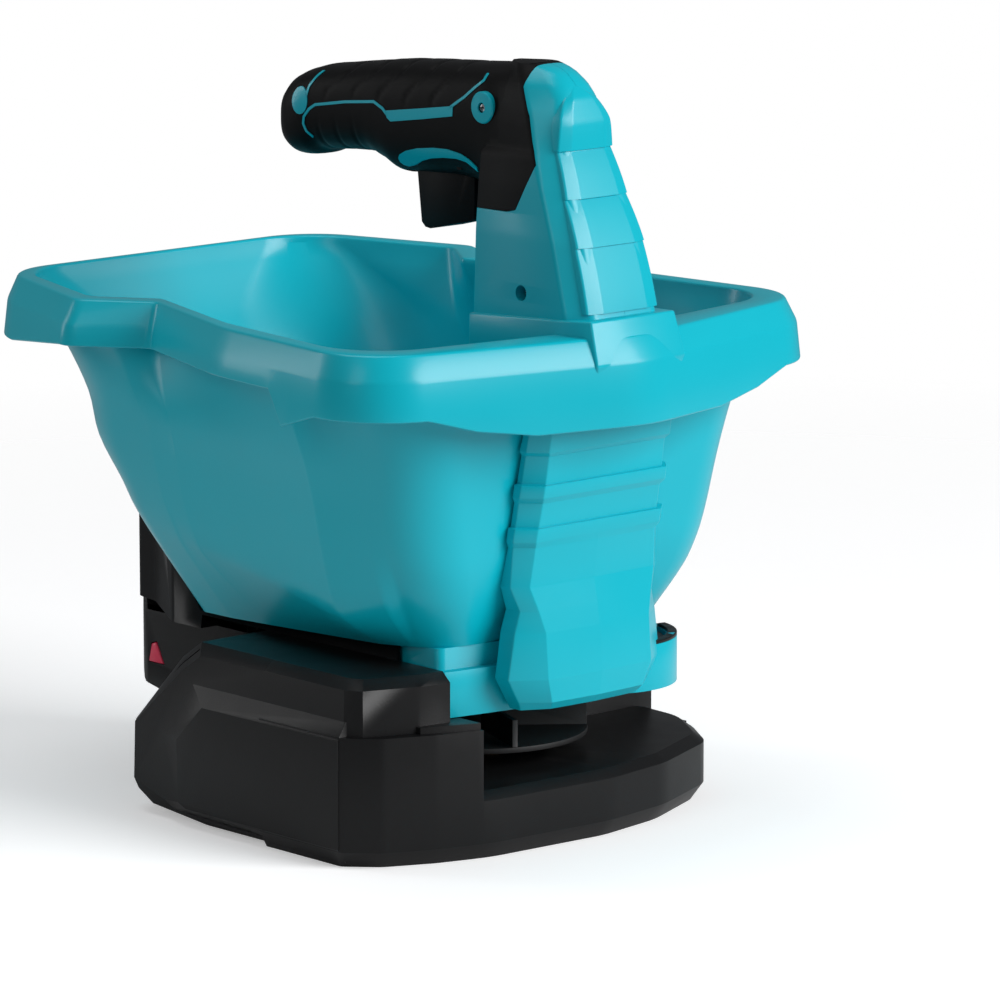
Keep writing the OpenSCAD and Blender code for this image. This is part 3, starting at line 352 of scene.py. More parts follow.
def lettering(name, text, size, depth, place):
    """Flat text as a mesh; place is a matrix in metres that stands the text on its surface."""
    curve = bpy.data.curves.new(name, "FONT")
    curve.body = text
    curve.size = size * MM
    curve.extrude = depth * MM
    curve.align_x = "CENTER"
    curve.align_y = "CENTER"
    curve.resolution_u = 6
    holder = bpy.data.objects.new(name, curve)
    bpy.context.scene.collection.objects.link(holder)
    graph = bpy.context.evaluated_depsgraph_get()
    graph.update()
    mesh = bpy.data.meshes.new_from_object(holder.evaluated_get(graph))
    drop(holder)
    mesh.transform(place)
    obj = bpy.data.objects.new(name, mesh)
    bpy.context.scene.collection.objects.link(obj)
    return obj


def standing(spot, normal, up):
    """A matrix that puts a flat mesh on a spot in millimetres, facing normal, its top towards up."""
    z = Vector(normal).normalized()
    x = Vector(up).cross(z).normalized()
    y = z.cross(x)
    turn = Matrix((x, y, z)).transposed().to_4x4()
    return Matrix.Translation(Vector(spot) * MM) @ turn


# Materials

MATERIALS = {}


def srgb(red, green, blue):
    """A linear colour from the 0 to 255 values that a picture shows."""
    def line(v):
        v /= 255
        return v / 12.92 if v <= 0.04045 else ((v + 0.055) / 1.055) ** 2.4
    return line(red), line(green), line(blue), 1.0


class Val:
    """One socket of a material; arithmetic on it adds Math nodes to the tree."""

    def __init__(self, tree, socket):
        self.tree = tree
        self.socket = socket

    def _math(self, operation, *values):
        node = self.tree.nodes.new("ShaderNodeMath")
        node.operation = operation
        for i, value in enumerate(values):
            if isinstance(value, Val):
                self.tree.links.new(value.socket, node.inputs[i])
            else:
                node.inputs[i].default_value = value
        return Val(self.tree, node.outputs[0])

    def __add__(self, other):
        return self._math("ADD", self, other)

    def __radd__(self, other):
        return self._math("ADD", other, self)

    def __sub__(self, other):
        return self._math("SUBTRACT", self, other)

    def __rsub__(self, other):
        return self._math("SUBTRACT", other, self)

    def __mul__(self, other):
        return self._math("MULTIPLY", self, other)

    def __rmul__(self, other):
        return self._math("MULTIPLY", other, self)

    def above(self, level, sharp):
        """0 below a level and 1 above it, over a width of one part in sharp."""
        ramp = (self - level) * sharp
        return self._math("MINIMUM", self._math("MAXIMUM", ramp, 0.0), 1.0)


class Finish:
    """A material of MATERIALS under construction: its tree, its shader and the nodes that drive it."""

    def __init__(self, name, **shader):
        self.material = bpy.data.materials.new(name)
        MATERIALS[name] = self.material
        self.material.use_nodes = True
        self.tree = self.material.node_tree
        self.tree.nodes.clear()
        self.output = self.tree.nodes.new("ShaderNodeOutputMaterial")
        self.shader = self.tree.nodes.new("ShaderNodeBsdfPrincipled")
        self.tree.links.new(self.shader.outputs[0], self.output.inputs["Surface"])
        for key, value in shader.items():
            self.shader.inputs[key.replace("_", " ")].default_value = value
        self.place = self.node("ShaderNodeTexCoord", output="Object")

    def node(self, kind, settings=None, output=0, **values):
        """Adds a node: its settings first, then its sockets by name, or by number as n0, n1 and so on."""
        made = self.tree.nodes.new(kind)
        for key, value in (settings or {}).items():
            setattr(made, key, value)
        for key, value in values.items():
            numbered = key[0] == "n" and key[1:].isdigit()
            socket = made.inputs[int(key[1:]) if numbered else key.replace("_", " ")]
            if isinstance(value, Val):
                self.tree.links.new(value.socket, socket)
            else:
                socket.default_value = value
        return Val(self.tree, made.outputs[output])

    def noise(self, scale, detail=2.0, roughness=0.5):
        return self.node("ShaderNodeTexNoise", Vector=self.place, Scale=scale, Detail=detail,
                         Roughness=roughness)

    def mix(self, factor, one, two):
        return self.node("ShaderNodeMix", {"data_type": "RGBA"}, 2, n0=factor, n6=one, n7=two)

    def drive(self, name, value):
        self.tree.links.new(value.socket, self.shader.inputs[name])

    def bump(self, height, strength, distance):
        normal = self.node("ShaderNodeBump", Height=height, Strength=strength, Distance=distance)
        self.drive("Normal", normal)


def scaled(colour, factor):
    return tuple(min(1.0, c * factor) for c in colour[:3]) + (1.0,)


def moulded(name, colour, rough, grain, grain_depth, coat=0.0, tone=0.07, scuff=0.05, spec=0.5):
    """Injection-moulded plastic: a faint flow of tone, a fine texture and a gloss that varies a little."""
    kit = Finish(name, Metallic=0.0, Coat_Weight=coat, Coat_Roughness=0.12, Specular_IOR_Level=spec)
    cloud = kit.noise(14.0, 3.0, 0.55)
    kit.drive("Base Color", kit.mix(cloud, scaled(colour, 1 - tone), scaled(colour, 1 + tone)))
    smear = kit.noise(55.0, 4.0, 0.6)
    kit.drive("Roughness", rough + (smear - 0.5) * scuff * 2)
    fine = kit.noise(grain, 2.0, 0.6)
    kit.bump(fine, grain_depth * 5, 0.0002)


def metal(name, colour, rough, streak=240.0):
    """Plated or cut metal with fine turned streaks and darker stains."""
    kit = Finish(name, Metallic=1.0)
    drawn_out = kit.node("ShaderNodeMapping", Vector=kit.place, Scale=(1.0, 1.0, 9.0))
    fine = kit.node("ShaderNodeTexNoise", Vector=drawn_out, Scale=streak, Detail=3.0)
    stain = kit.noise(90.0, 4.0, 0.6)
    kit.drive("Base Color", kit.mix(stain, scaled(colour, 0.8), scaled(colour, 1.08)))
    kit.drive("Roughness", rough + (fine - 0.5) * 0.25)
    kit.bump(fine, 0.15, 0.0001)


def printed(name, colour):
    """Pad-printed marks: flat ink with a slightly broken, duller skin."""
    kit = Finish(name, Metallic=0.0)
    speck = kit.noise(1400.0, 3.0, 0.7)
    kit.drive("Base Color", kit.mix(speck, scaled(colour, 0.9), scaled(colour, 1.0)))
    kit.drive("Roughness", 0.5 + (speck - 0.5) * 0.2)
    kit.bump(speck, 0.1, 0.00005)


def make_materials(look):
    """All the finishes of the object, by the record's slot names and a few of their own."""
    teal, black, red = (tuple(colour) + (1.0,) for colour in (look.teal, look.black, look.red))
    moulded("teal_gloss", teal, look.gloss, 1100.0, 0.01, 0.1, 0.035, 0.04, 0.34)
    moulded("black_gloss", black, 0.36, 1300.0, 0.03, 0.0, 0.15, 0.06, 0.24)
    moulded("black_soft", scaled(black, 0.8), 0.46, 2600.0, 0.05, 0.0, 0.2, 0.05, 0.09)
    moulded("black_inner", scaled(black, 0.9), 0.55, 1600.0, 0.04, 0.0, 0.15, 0.06)
    moulded("grey_inner", srgb(78, 82, 86), 0.5, 1500.0, 0.03, 0.0, 0.08, 0.06)
    moulded("grey_dial", srgb(44, 46, 50), 0.42, 1900.0, 0.04, 0.0, 0.08, 0.06)
    moulded("red", red, 0.32, 1200.0, 0.02, 0.2, 0.06, 0.05)
    metal("steel", srgb(190, 192, 196), 0.28)
    metal("brass", srgb(214, 172, 92), 0.3)
    moulded("rubber", srgb(26, 26, 27), 0.75, 3200.0, 0.1, 0.0, 0.2, 0.05, 0.3)
    printed("ink_white", srgb(236, 238, 240))
    moulded("pointer_teal", teal, 0.4, 1100.0, 0.01)
    metal("can_steel", srgb(150, 154, 160), 0.34, 160.0)


# Hopper: half outlines of (x, y, corner radius) from the front's middle round to the rear corner

LIP_TOP = 213.0
HOPPER_WALL = 2.6
RIM_WALL = 2.8
BEVEL_DROP = 10.0
BAND_DRAFT = 1.6
RUN_POINTS = 3
CURVE_RINGS = 3
CORNER_STEPS = (8, 18, 8, 6, 6, 20)
FRONT_MARKS = (0.39, 0.6)
SIDE_MARKS = (0.53, 0.615)
LIP_INNER = ((0, -70, 60), (115, -52, 30), (103, 45, 80), (83, 110, 4), (101, 136, 10), (78.5, 210.5, 30))
LIP_OUTER = ((0, -90, 60), (124, -61, 32), (113, 35, 80), (91, 104, 5), (111, 133, 10), (84.5, 214.5, 31))
BAND_TOP = ((0, -95, 60), (128, -65, 34), (117, 35, 80), (94.5, 103, 5), (117, 132, 10), (89, 220.5, 44))
SKIRT_LOW = (177, 177, 181, 187, 180, 194, 194, 194, 194, 187.5)
SHAFT_SEAL_R = 7.0
OUTLET = (-14.0, -6.0, 0)
OUTLET_R = 7.5
LIP_INSET = 0.3
COLLAR_SHOULDER = -71
FLOOR_HEIGHT = 83.3
FLOOR_SLOPE = 0.043
BOSS_R = 5.0
BOSS_HEIGHT = 14.0
SCREW_SPOTS = ((-48, -5), (38, 24), (60, 48), (-60, 48), (52, 84), (-52, 84))


def floor_z(y):
    return FLOOR_HEIGHT - FLOOR_SLOPE * y


def grow(half, d):
    """A half outline moved outwards by d; points in the middle of the sides keep their place along them."""
    return [(x + d if x else 0, y - d if y < -30 else y + d if y > 140 else y, max(1, r + d))
            for x, y, r in half]


def marked(half, z):
    """The half outline with its corners' rounding steps and heights, and plain points between them."""
    q = [(x, y, r, s, z[i] if isinstance(z, (list, tuple)) else z)
         for i, ((x, y, r), s) in enumerate(zip(half, CORNER_STEPS))]

    def between(a, b, t):
        return tuple(a[c] * (1 - t) + b[c] * t for c in (0, 1)) + (0, 0, a[4] * (1 - t) + b[4] * t)
    return ([q[0]] + [between(q[0], q[1], t) for t in FRONT_MARKS] + [q[1]]
            + [between(q[1], q[2], t) for t in SIDE_MARKS] + q[2:])


def closed(q):
    whole = q[:1] + mirrored(q[1:])
    return with_gaps(rounded(whole), [c[3] for c in whole], RUN_POINTS)


def rim_ring(half, z):
    return closed(marked(half, z))


def skirt_ring(d):
    """The skirt's lower edge, whose height changes from point to point."""
    q = marked(grow(BAND_TOP, d), 0)
    return closed([tuple(c[:4]) + (SKIRT_LOW[i],) for i, c in enumerate(q)])


TUB = (
    (((0, -67, 60), (100, -61, 32), (106, 8, 16), (92, 104, 30), (95, 124, 20), (90, 202, 61.6)), 187),
    (((0, -61, 60), (89.5, -58, 28), (104, -2, 7), (95.5, 92, 40), (93.5, 112, 30), (84, 190, 61.5)), 167),
    (((0, -58, 60), (85.5, -55.5, 28), (99.5, -3.5, 6), (93, 90, 40), (91.5, 107, 30), (82, 180, 51)), 149),
    (((0, -55, 60), (81, -53.5, 28), (95.3, -5, 6), (90.5, 88, 40), (89, 104, 30), (80, 162, 42)),
     (130, 128, 124, 130, 131, 132)),
    (((0, -54, 60), (76.5, -52, 26), (91, -7, 6), (88, 84, 40), (87, 100, 30), (78, 153, 36)),
     (124, 116, 103, 117, 120.5, 121.5)),
    (((0, -50.5, 60), (71.5, -48.5, 24), (85.5, -9, 7), (84, 82, 40), (83, 98, 30), (74, 143, 30)),
     (110, 104, 95, 108, 110, 110)),
    (((0, -42.5, 60), (60, -41, 20), (69, -10, 8), (68.6, 60, 60), (68, 85, 40), (65, 111, 8)), 0),
)


def tub_rings(d):
    """The hopper's wall from the rim down to the sloping floor, d inside its outer face."""
    rings = [rim_ring(grow(LIP_INNER, -LIP_INSET if d else HOPPER_WALL), LIP_TOP - RIM_WALL)]
    for half, z in TUB[:-1]:
        rings.append(rim_ring(grow(half, -d), z))
    rings.append([(x, y, floor_z(y) + d) for x, y, _ in rim_ring(grow(TUB[-1][0], -d), 0)])
    return blend_rings(rings, CURVE_RINGS)


def collar_ring(side, front_half, front, z, dip=0.4, tilt=0.0, rear=-15.0, least=-200.0):
    """One level of the collar: sides up to its shoulder and a front that bulges by dip; least cuts it off."""
    spots = [(-side, rear), (-side, COLLAR_SHOULDER), (-front_half, front + dip), (0, front),
             (front_half, front + dip), (side, COLLAR_SHOULDER), (side, rear)]
    return [(x, max(y, least), z - tilt * (y - front)) for x, y in spots]


def build_hopper(look):
    """The hopper as one wall: up the outside, round the folded rim and down the inside."""
    outer, inner = tub_rings(0), tub_rings(HOPPER_WALL)
    rings = outer[::-1] + [
        rim_ring(grow(LIP_OUTER, -RIM_WALL), LIP_TOP - RIM_WALL),
        rim_ring(grow(BAND_TOP, -RIM_WALL), LIP_TOP - BEVEL_DROP - 1),
        skirt_ring(BAND_DRAFT - RIM_WALL), skirt_ring(BAND_DRAFT),
        rim_ring(BAND_TOP, LIP_TOP - BEVEL_DROP), rim_ring(LIP_OUTER, LIP_TOP),
        rim_ring(LIP_INNER, LIP_TOP)] + inner
    shell = loft("hopper_shell", rings, [len(outer) + k for k in range(2, 7)])
    bevelled(shell, mm(look.rim_round))
    port = lathe("port_cut", [(OUTLET_R, 60), (OUTLET_R, 100)], OUTLET)
    shaft = lathe("shaft_cut", [(SHAFT_SEAL_R, 60), (SHAFT_SEAL_R, 110)], (0, SHAFT_Y, 0))
    combined(shell, "DIFFERENCE", port, shaft)
    collar = loft("collar", [
        collar_ring(18, 16, -58, 158, least=-58, rear=-48),
        collar_ring(23, 19, -65, 187, least=-65),
        collar_ring(24, 22, -88, 191, 1.0), collar_ring(25.4, 24.2, -91.6, 202.6, 0.8),
        collar_ring(25.2, 23.0, -86.0, 219.95, 0.4, 0.059)])
    bevelled(collar, 0.9, 20)
    boss = ((BOSS_R, 1), (BOSS_R, BOSS_HEIGHT - 1), (BOSS_R - 0.6, BOSS_HEIGHT - 0.1),
            (BOSS_R - 1.6, BOSS_HEIGHT))
    bosses = [lathe(f"boss_{i}", [(r, floor_z(y) + h) for r, h in boss], (x, y, 0), steps=32)
              for i, (x, y) in enumerate(SCREW_SPOTS)]
    whole = joined("hopper_moulding", [shell, collar] + bosses)
    settle(whole, "frame", "teal_gloss", "hopper", angle=30)


# Front column

COLUMN = (
    # height, half width of the face, its front, half width of the sides, their front edge
    (58.5, 23, -62, 34, -56), (62, 25, -65.5, 36, -57), (72, 28.5, -67, 42, -57.5),
    (91, 28.5, -65.5, 39, -58), (100, 31, -64, 36.5, -58.5), (110, 35, -62.8, 41, -57.5),
    (131, 34, -66, 41, -59.5), (150, 33.5, -70, 40, -62.5), (179, 33, -74.5, 38.5, -67),
)
COLUMN_BACK = ((50, -50.6), (92, -50.6), (110, -51.8), (124, -55.5), (130, -56.4), (149, -59.2), (167, -62.2),
               (187, -68.1))
SUNK = 1.4
CREASE_TOP = 127.0
BANDS = (
    # height, depth below the column's full size
    (58.5, 0), (61.9, 0), (62, 0), (71.9, 0), (72.1, 0), (90.9, 0), (91.1, 0), (99.9, 0), (100.1, 0),
    (109.8, 0.7), (110.4, 0.8), (126.0, 1.25), (126.5, 1.2), (128.7, 0.1), (129.2, 0), (134.4, 0),
    (134.6, 0.05), (134.9, 1.35), (135.1, 1.4), (144.8, 1.4), (145.1, 1.35), (147.2, 0.1), (147.6, 0),
    (152.4, 0), (152.6, 0.05),
    (152.9, 1.35), (153.1, 1.4), (164.3, 1.4), (164.6, 1.35), (166.3, 0.1), (166.7, 0), (179, 0),
)


def build_column(look):
    """The ribbed cover down the hopper's front; its lower faces meet in crisp, slightly rounded creases."""
    rings = []
    soft = mm(look.column_round)
    for z, d in BANDS:
        _, face, front, side, edge = between_rows(COLUMN, z)
        back = between_rows(COLUMN_BACK, z)[1] + SUNK
        middle = (0, front + d - 1.2, soft * 2, 4, z) if z < CREASE_TOP else (0, front + d - 0.05, 1, 4, z)
        half = [(-side + d, back, 0.4, 1, z), (-side + d, edge + d, soft, 4, z),
                (-face + d, front + d, soft, 4, z)]
        rings.append(rounded(mirrored(half, middle)))
    cover = loft("column_cover", rings)
    lug = lathe("lug_cut", [(LUG_CLEAR_R, 40), (LUG_CLEAR_R, LUG_TOP)], (DIAL[0], DIAL[1], 0), steps=96)
    combined(cover, "DIFFERENCE", lug)
    settle(cover, "frame", "teal_gloss", "front_column", angle=22)


# Housings with rounded edges

HOUSINGS = (
    # piece, node, finish, edge radius, least angle of a rounded edge in degrees
    ("neck_moulding", "neck_housing", "teal_gloss", 0.6, 30),
    ("floor_plate", "base_plate", "black_gloss", 0.7, 30),
    ("rear_moulding", "rear_housing", "black_gloss", 1.0, 24),
    ("pack_case", "battery_case", "black_gloss", 1.0, 24),
    ("pack_latch_left", "latch_left", "red", 0.4, 30),
    ("pack_latch_right", "latch_right", "red", 0.4, 30),
    ("trigger_lever", "trigger", "black_soft", 1.1, 28),
    ("impeller_wheel", "impeller", "black_inner", 0.35, 30),
    ("agitator_arms", "agitator", "black_inner", 0.4, 30),
    ("gate_disc", "metering_disc", "grey_inner", 0.25, 35),
    ("dial_body", "flow_dial", "grey_dial", 0.4, 35),
    ("dial_window", "dial_bezel", "black_gloss", 0.25, 35),
    ("motor_can", "motor", "can_steel", 0.5, 30),
)


BLOCK_TOP = 77.0
BLOCK_EDGE = ((-105, 24, -1, 0), (-105, -29, -1, -0.27), (-101, -36, -0.75, -0.72), (-78, -45, -0.28, -1.0),
              (-64, -47, -0.1, -1.0), (-58, -47.9, -0.1, -1.0))
CHAMFER_STEEPNESS = 0.9


def chamfer_bar(name, path, top, inward, down, margin=0.6):
    """A cutter that takes the corner off an edge; path holds (x, y, out x, out y) along it, at height top."""
    slope = down / inward
    bm = bmesh.new()
    rings = []
    for x, y, ox, oy in path:
        shape = ((margin, -down - margin * slope), (margin, margin * slope),
                 (-inward - margin, margin * slope))
        rings.append([bm.verts.new(Vector((x + ox * s, y + oy * s, top + h)) * MM) for s, h in shape])
    for a, b in zip(rings, rings[1:]):
        for i in range(3):
            j = (i + 1) % 3
            bm.faces.new((a[i], a[j], b[j], b[i]))
    bm.faces.new(rings[0][::-1])
    bm.faces.new(rings[-1])
    bmesh.ops.recalc_face_normals(bm, faces=bm.faces)
    return to_object(bm, name)


def build_base(look):
    """The base block and tray, with the wide chamfer that runs round the block's upper edge on the left."""
    base = cad_copy("base_moulding", "base_housing")
    width = mm(look.block_chamfer)
    edge = chamfer_bar("top_chamfer", BLOCK_EDGE, BLOCK_TOP + 0.02, width, width * CHAMFER_STEEPNESS)
    combined(base, "DIFFERENCE", edge)
    bm = bmesh.new()
    bm.from_mesh(base.data)
    bmesh.ops.dissolve_limit(bm, angle_limit=math.radians(1.0), verts=bm.verts, edges=bm.edges)
    bm.to_mesh(base.data)
    bm.free()
    bevelled(base, 1.2 * look.edge_scale, 20, 3)
    settle(base, "frame", "black_gloss", "base_housing", angle=26)


def build_housings(look):
    for piece, node, finish, width, angle in HOUSINGS:
        obj = softened(piece, node, width * look.edge_scale, angle)
        slot = "steel" if finish == "can_steel" else finish
        settle(obj, body_of(node), finish, node, slot=slot, angle=40)


# Handle

GRIP = (
    # distance back, top, underside, half width
    (-50, 310, 242, 16), (-40, 315.6, 242, 17.4), (-22, 316, 242, 17.5), (-11, 315.6, 262.5, 17.5),
    (4, 314.6, 266.5, 17.5), (24, 313.4, 266, 17.5), (44, 312, 265.6, 17.5), (54, 311, 269.5, 17.4),
    (62, 309.8, 271.8, 17.3), (92, 306, 270, 17.4), (101, 303.8, 267, 18), (108, 301, 266.6, 17.6),
    (113.5, 296.6, 268.6, 15.4), (117, 291.6, 272.6, 11), (118.4, 287.6, 276.8, 6.5),
)
GRIP_STEPS = 180
TEAL_EDGE = ((-36.5, 330), (-36.5, 318.6), (-37, 309), (-43.5, 298), (-46.5, 288), (-50, 279), (-40, 260),
             (-35, 258.8), (0, 258.4))
TEAL_REST = ((0, 180), (-120, 180), (-120, 330))
SEAM = 0.25
POST_LOW = 214.0
POST_TOP = 317.3
POST_BACK = -16.5
POST_PLANS = (
    # height, half width, where the side ends, half width of the front
    (214.0, 24, -71, 17), (220, 24, -71, 17), (250, 23, -62, 16), (270, 21.5, -54, 14.6),
    (285, 19.6, -48, 12.4), (300, 18.0, -42.5, 10.4), (310, 15.5, -35.5, 8.6), (317.3, 11.0, -29, 6.0),
)
POST_FRONT = ((214.0, -82.0), (219.0, -81.0), (247.6, -73.4), (266, -65.2), (284.6, -58.3), (296, -57.8),
              (305, -55.2), (310, -51.4), (314, -46.6), (316.2, -41.8), (317.3, -36))
POST_REAR = ((214, 30), (274, 30), (284, 16.8), (294, 16.4), (301, 15.0), (307, 12.4), (312, 8.0),
             (317.3, 2.0))
DOME_LOW = 314.5
TONGUE_STEPS = ((221.6, 247.2), (247.5, 265.8), (266.1, 284.4), (284.7, 309.6))
TONGUE_WIDTH = ((221, 19.6), (247, 18.8), (266, 17.0), (284, 14.8), (297, 13.6), (310, 11.0))
TONGUE_PROUD = 0.9
GROOVES = ((83.2, 71.1), (65.5, 54.1), (49.5, 38.5), (33.0, 21.5), (16.5, 5.0))
FINGER_LINES = (88.0, 77.0, 66.0)
GRIP_CURVE = 0.72
BOSS_FRONT = (-14.6, 298.6)
BOSS_FRONT_R = 6.6
BOSS_REAR = (98.6, 291.0)
BOSS_REAR_R = 5.8
POST_SCREW = (-45, 227)
POST_SCREW_R = 3.2
TRIGGER_SLOT = ((-6, 230), (41, 230), (41, 283), (-6, 283))
TRIGGER_SLOT_HALF = 9.8
UNDER_GRIP = ((-17, 200), (200, 200), (200, 258), (-17, 258))
GROOVES_END = 96
FINGERS_START = 58
POST_STEPS = 64
ZONE_HALF = 60


def between_rows(rows, at):
    """A row of numbers at a height, between rows sorted by their first number."""
    for a, b in zip(rows, rows[1:]):
        if at <= b[0]:
            t = max(0.0, (at - a[0]) / (b[0] - a[0]))
            return [a[c] * (1 - t) + b[c] * t for c in range(len(a))]
    return list(rows[-1])


def grip_section(row, d, look, sides=72, cuts=True):
    """One cross-section of the grip; cuts adds the slanted grooves and the finger lines."""
    y, top, low, half = row
    top, low = top - d, low + d
    mid, h, w = (top + low) / 2, (top - low) / 2, half - d
    ring = []
    for k in range(sides):
        t = 2 * math.pi * (k + 0.5) / sides
        c, e = math.cos(t), math.sin(t)
        x = -w * math.copysign(abs(c) ** GRIP_CURVE, c)
        z = mid + h * math.copysign(abs(e) ** GRIP_CURVE, e)
        if cuts and 0 < y < GROOVES_END:
            depth = 0.0
            if e > 0.12:
                for low_y, top_y in GROOVES:
                    centre = low_y + (top_y - low_y) * min(1.0, max(0.0, (e - 0.25) / 0.55))
                    depth = max(depth, math.exp(-((y - centre) / 1.1) ** 2) * min(1.0, (e - 0.12) / 0.2))
            elif e < -0.1 and y > FINGERS_START:
                for centre in FINGER_LINES:
                    depth = max(depth, 0.7 * math.exp(-(y - centre) ** 2) * min(1.0, (-e - 0.1) / 0.3))
            x -= math.copysign(depth * mm(look.groove) * abs(c), x)
            z -= depth * mm(look.groove) * e
        ring.append((x, y, z))
    return ring


def grip_loft(name, d, look, cuts=True):
    """The grip's whole body, its surface d inside the moulding's; a negative d makes it larger."""
    first, last = GRIP[0][0], GRIP[-1][0]
    spots = [first + (last - first) * k / GRIP_STEPS for k in range(1, GRIP_STEPS)]
    rows = [GRIP[0]] + [between_curve(GRIP, y) for y in spots] + [GRIP[-1]]
    return loft(name, [grip_section(row, d, look, cuts=cuts) for row in rows])


def between_curve(rows, at):
    """Like between_rows, along a smooth curve."""
    for i, (a, b) in enumerate(zip(rows, rows[1:])):
        if at <= b[0]:
            p, n = rows[max(0, i - 1)], rows[min(len(rows) - 1, i + 2)]
            h = b[0] - a[0]
            t = max(0.0, (at - a[0]) / h)
            out = [at]
            for c in range(1, len(a)):
                m0 = 0.7 * (b[c] - p[c]) / (b[0] - p[0]) * h
                m1 = 0.7 * (n[c] - a[c]) / (n[0] - a[0]) * h
                out.append((2 * t ** 3 - 3 * t * t + 1) * a[c] + (t ** 3 - 2 * t * t + t) * m0
                           + (3 * t * t - 2 * t ** 3) * b[c] + (t ** 3 - t * t) * m1)
            return out
    return list(rows[-1])


def post_loft(name):
    """The post from inside the collar up to its domed head."""
    levels = [POST_LOW + (POST_TOP - POST_LOW) * k / POST_STEPS for k in range(POST_STEPS)]
    levels += [POST_TOP - 0.7, POST_TOP - 0.2, POST_TOP]
    rings = []
    for z in levels:
        _, h, side_y, f = between_rows(POST_PLANS, z)
        front = between_rows(POST_FRONT, z)[1]
        h -= max(0.0, z - DOME_LOW) * 0.35
        side_y = max(side_y, front + 1.5)
        turn = 5 + 4 * min(1.0, max(0.0, (z - 270) / 25))
        rear = min(h, between_rows(POST_REAR, z)[1])
        half = [(-rear, POST_BACK, 1, 2, z), (-h, side_y, turn, 8, z), (-f, front, min(turn, f + 1), 6, z)]
        rings.append(rounded(mirrored(half)))
    return loft(name, rings)


def tongue_loft(look):
    """The raised front of the post: stepped segments, each a little fuller in its middle, and a round top."""
    rings = []
    for low, high in TONGUE_STEPS:
        top = high == TONGUE_STEPS[-1][1]
        steps = 20 if top else 7
        for k in range(steps + 1):
            t = math.sin(math.pi / 2 * k / steps) if top else k / steps
            z = low + (high - low) * t
            swell = mm(look.step_swell) * (1 - (2 * t - 1) ** 2) - (0 if top else 0.9 * t)
            y = between_rows(POST_FRONT, z)[1] - TONGUE_PROUD - swell
            w = between_rows(TONGUE_WIDTH, z)[1]
            if top:
                w *= math.sqrt(max(0.0, 1 - max(0.0, (t - 0.3) / 0.7) ** 2)) + 0.03
                y += 0.9 * t ** 3
            bend = min(2.6, w * 0.5)
            half = [(-w, y + 7, 0.4, 1, z), (-w, y + bend * 0.7, bend * 0.5, 5, z),
                    (-w * 0.62, y, bend, 5, z)]
            rings.append(rounded(mirrored(half)))
    return loft("tongue", rings)


def build_handle(look):
    """Post and grip are one body, parted into teal and black along TEAL_EDGE and halved in the middle."""
    core = combined(post_loft("post_core"), "UNION", grip_loft("grip_core", 0, look))
    teal = twin(core, "teal_part")
    combined(teal, "INTERSECT", prism("teal_zone", TEAL_EDGE + TEAL_REST, -ZONE_HALF, ZONE_HALF))
    wider = tuple((y + SEAM, z + (SEAM if z < 262 and y > -43 else 0)) for y, z in TEAL_EDGE)
    combined(core, "DIFFERENCE", prism("teal_zone_wide", wider + TEAL_REST, -ZONE_HALF, ZONE_HALF))
    combined(core, "DIFFERENCE", prism("under_cut", UNDER_GRIP, -ZONE_HALF, ZONE_HALF))
    combined(core, "DIFFERENCE", prism("slot_cut", TRIGGER_SLOT, -TRIGGER_SLOT_HALF, TRIGGER_SLOT_HALF))
    hole = lathe("hole_cut", [(POST_SCREW_R, -40), (POST_SCREW_R, -17)], (0, *POST_SCREW), axis="x", steps=32)
    combined(teal, "DIFFERENCE", hole)
    for side, word in ((-1, "left"), (1, "right")):
        settle(halved(teal, f"post_skin_{word}", side), "frame", "teal_gloss", f"post_{word}", angle=34)
        settle(halved(core, f"grip_skin_{word}", side), "frame", "black_soft", f"grip_{word}", angle=34)
    drop(teal, core)
    tongue = tongue_loft(look)
    tongue.name = "post_ribs"
    settle(tongue, "frame", "teal_gloss", "post_panel", angle=24)


CAP_LINE = ((86.4, 308.2), (89.0, 304.6), (91.5, 301.3), (93.9, 297.3), (94.8, 293.2))
UNDER_LINE = ((92.8, 275.9), (95.4, 278.3), (96.5, 281.4), (95.9, 284.4), (92.9, 287.8), (89.0, 290.0),
              (70.0, 293.0), (52.0, 294.8), (46.5, 292.6), (43.7, 290.4))
TAIL = ((4.5, 297.0), (-3.5, 302.0), (-12.0, 309.2), (-12.8, 316.6))
WEDGE = ((44.4, 291.8), (24.0, 294.6), (3.0, 297.6), (3.2, 293.4), (22.0, 290.4), (41.2, 287.6),
         (43.6, 289.0))
LIP_ARC = ((38.9, 270.8), (38.9, 272.5), (37.3, 274.2), (33.0, 276.2), (25.6, 278.0), (15.8, 279.2),
           (7.1, 279.5), (-0.9, 278.4), (-5.8, 276.6), (-10.5, 273.6), (-10.5, 271.8), (-3.9, 275.2),
           (2.2, 276.0), (10.2, 275.6), (18.2, 274.5), (24.4, 272.8), (29.9, 270.4), (34.9, 269.2),
           (37.6, 269.6))
TRIM_ROOT = 12.0
LIP_ROOT = 9.0
TRIM_REACH = 30
WELL_R = 2.1
WELL_FLOOR = -14.6
CAP_SHAPE = ((BOSS_FRONT_R, 10), (BOSS_FRONT_R, 17.3), (BOSS_FRONT_R - 0.5, 17.75), (0.2, 17.95))


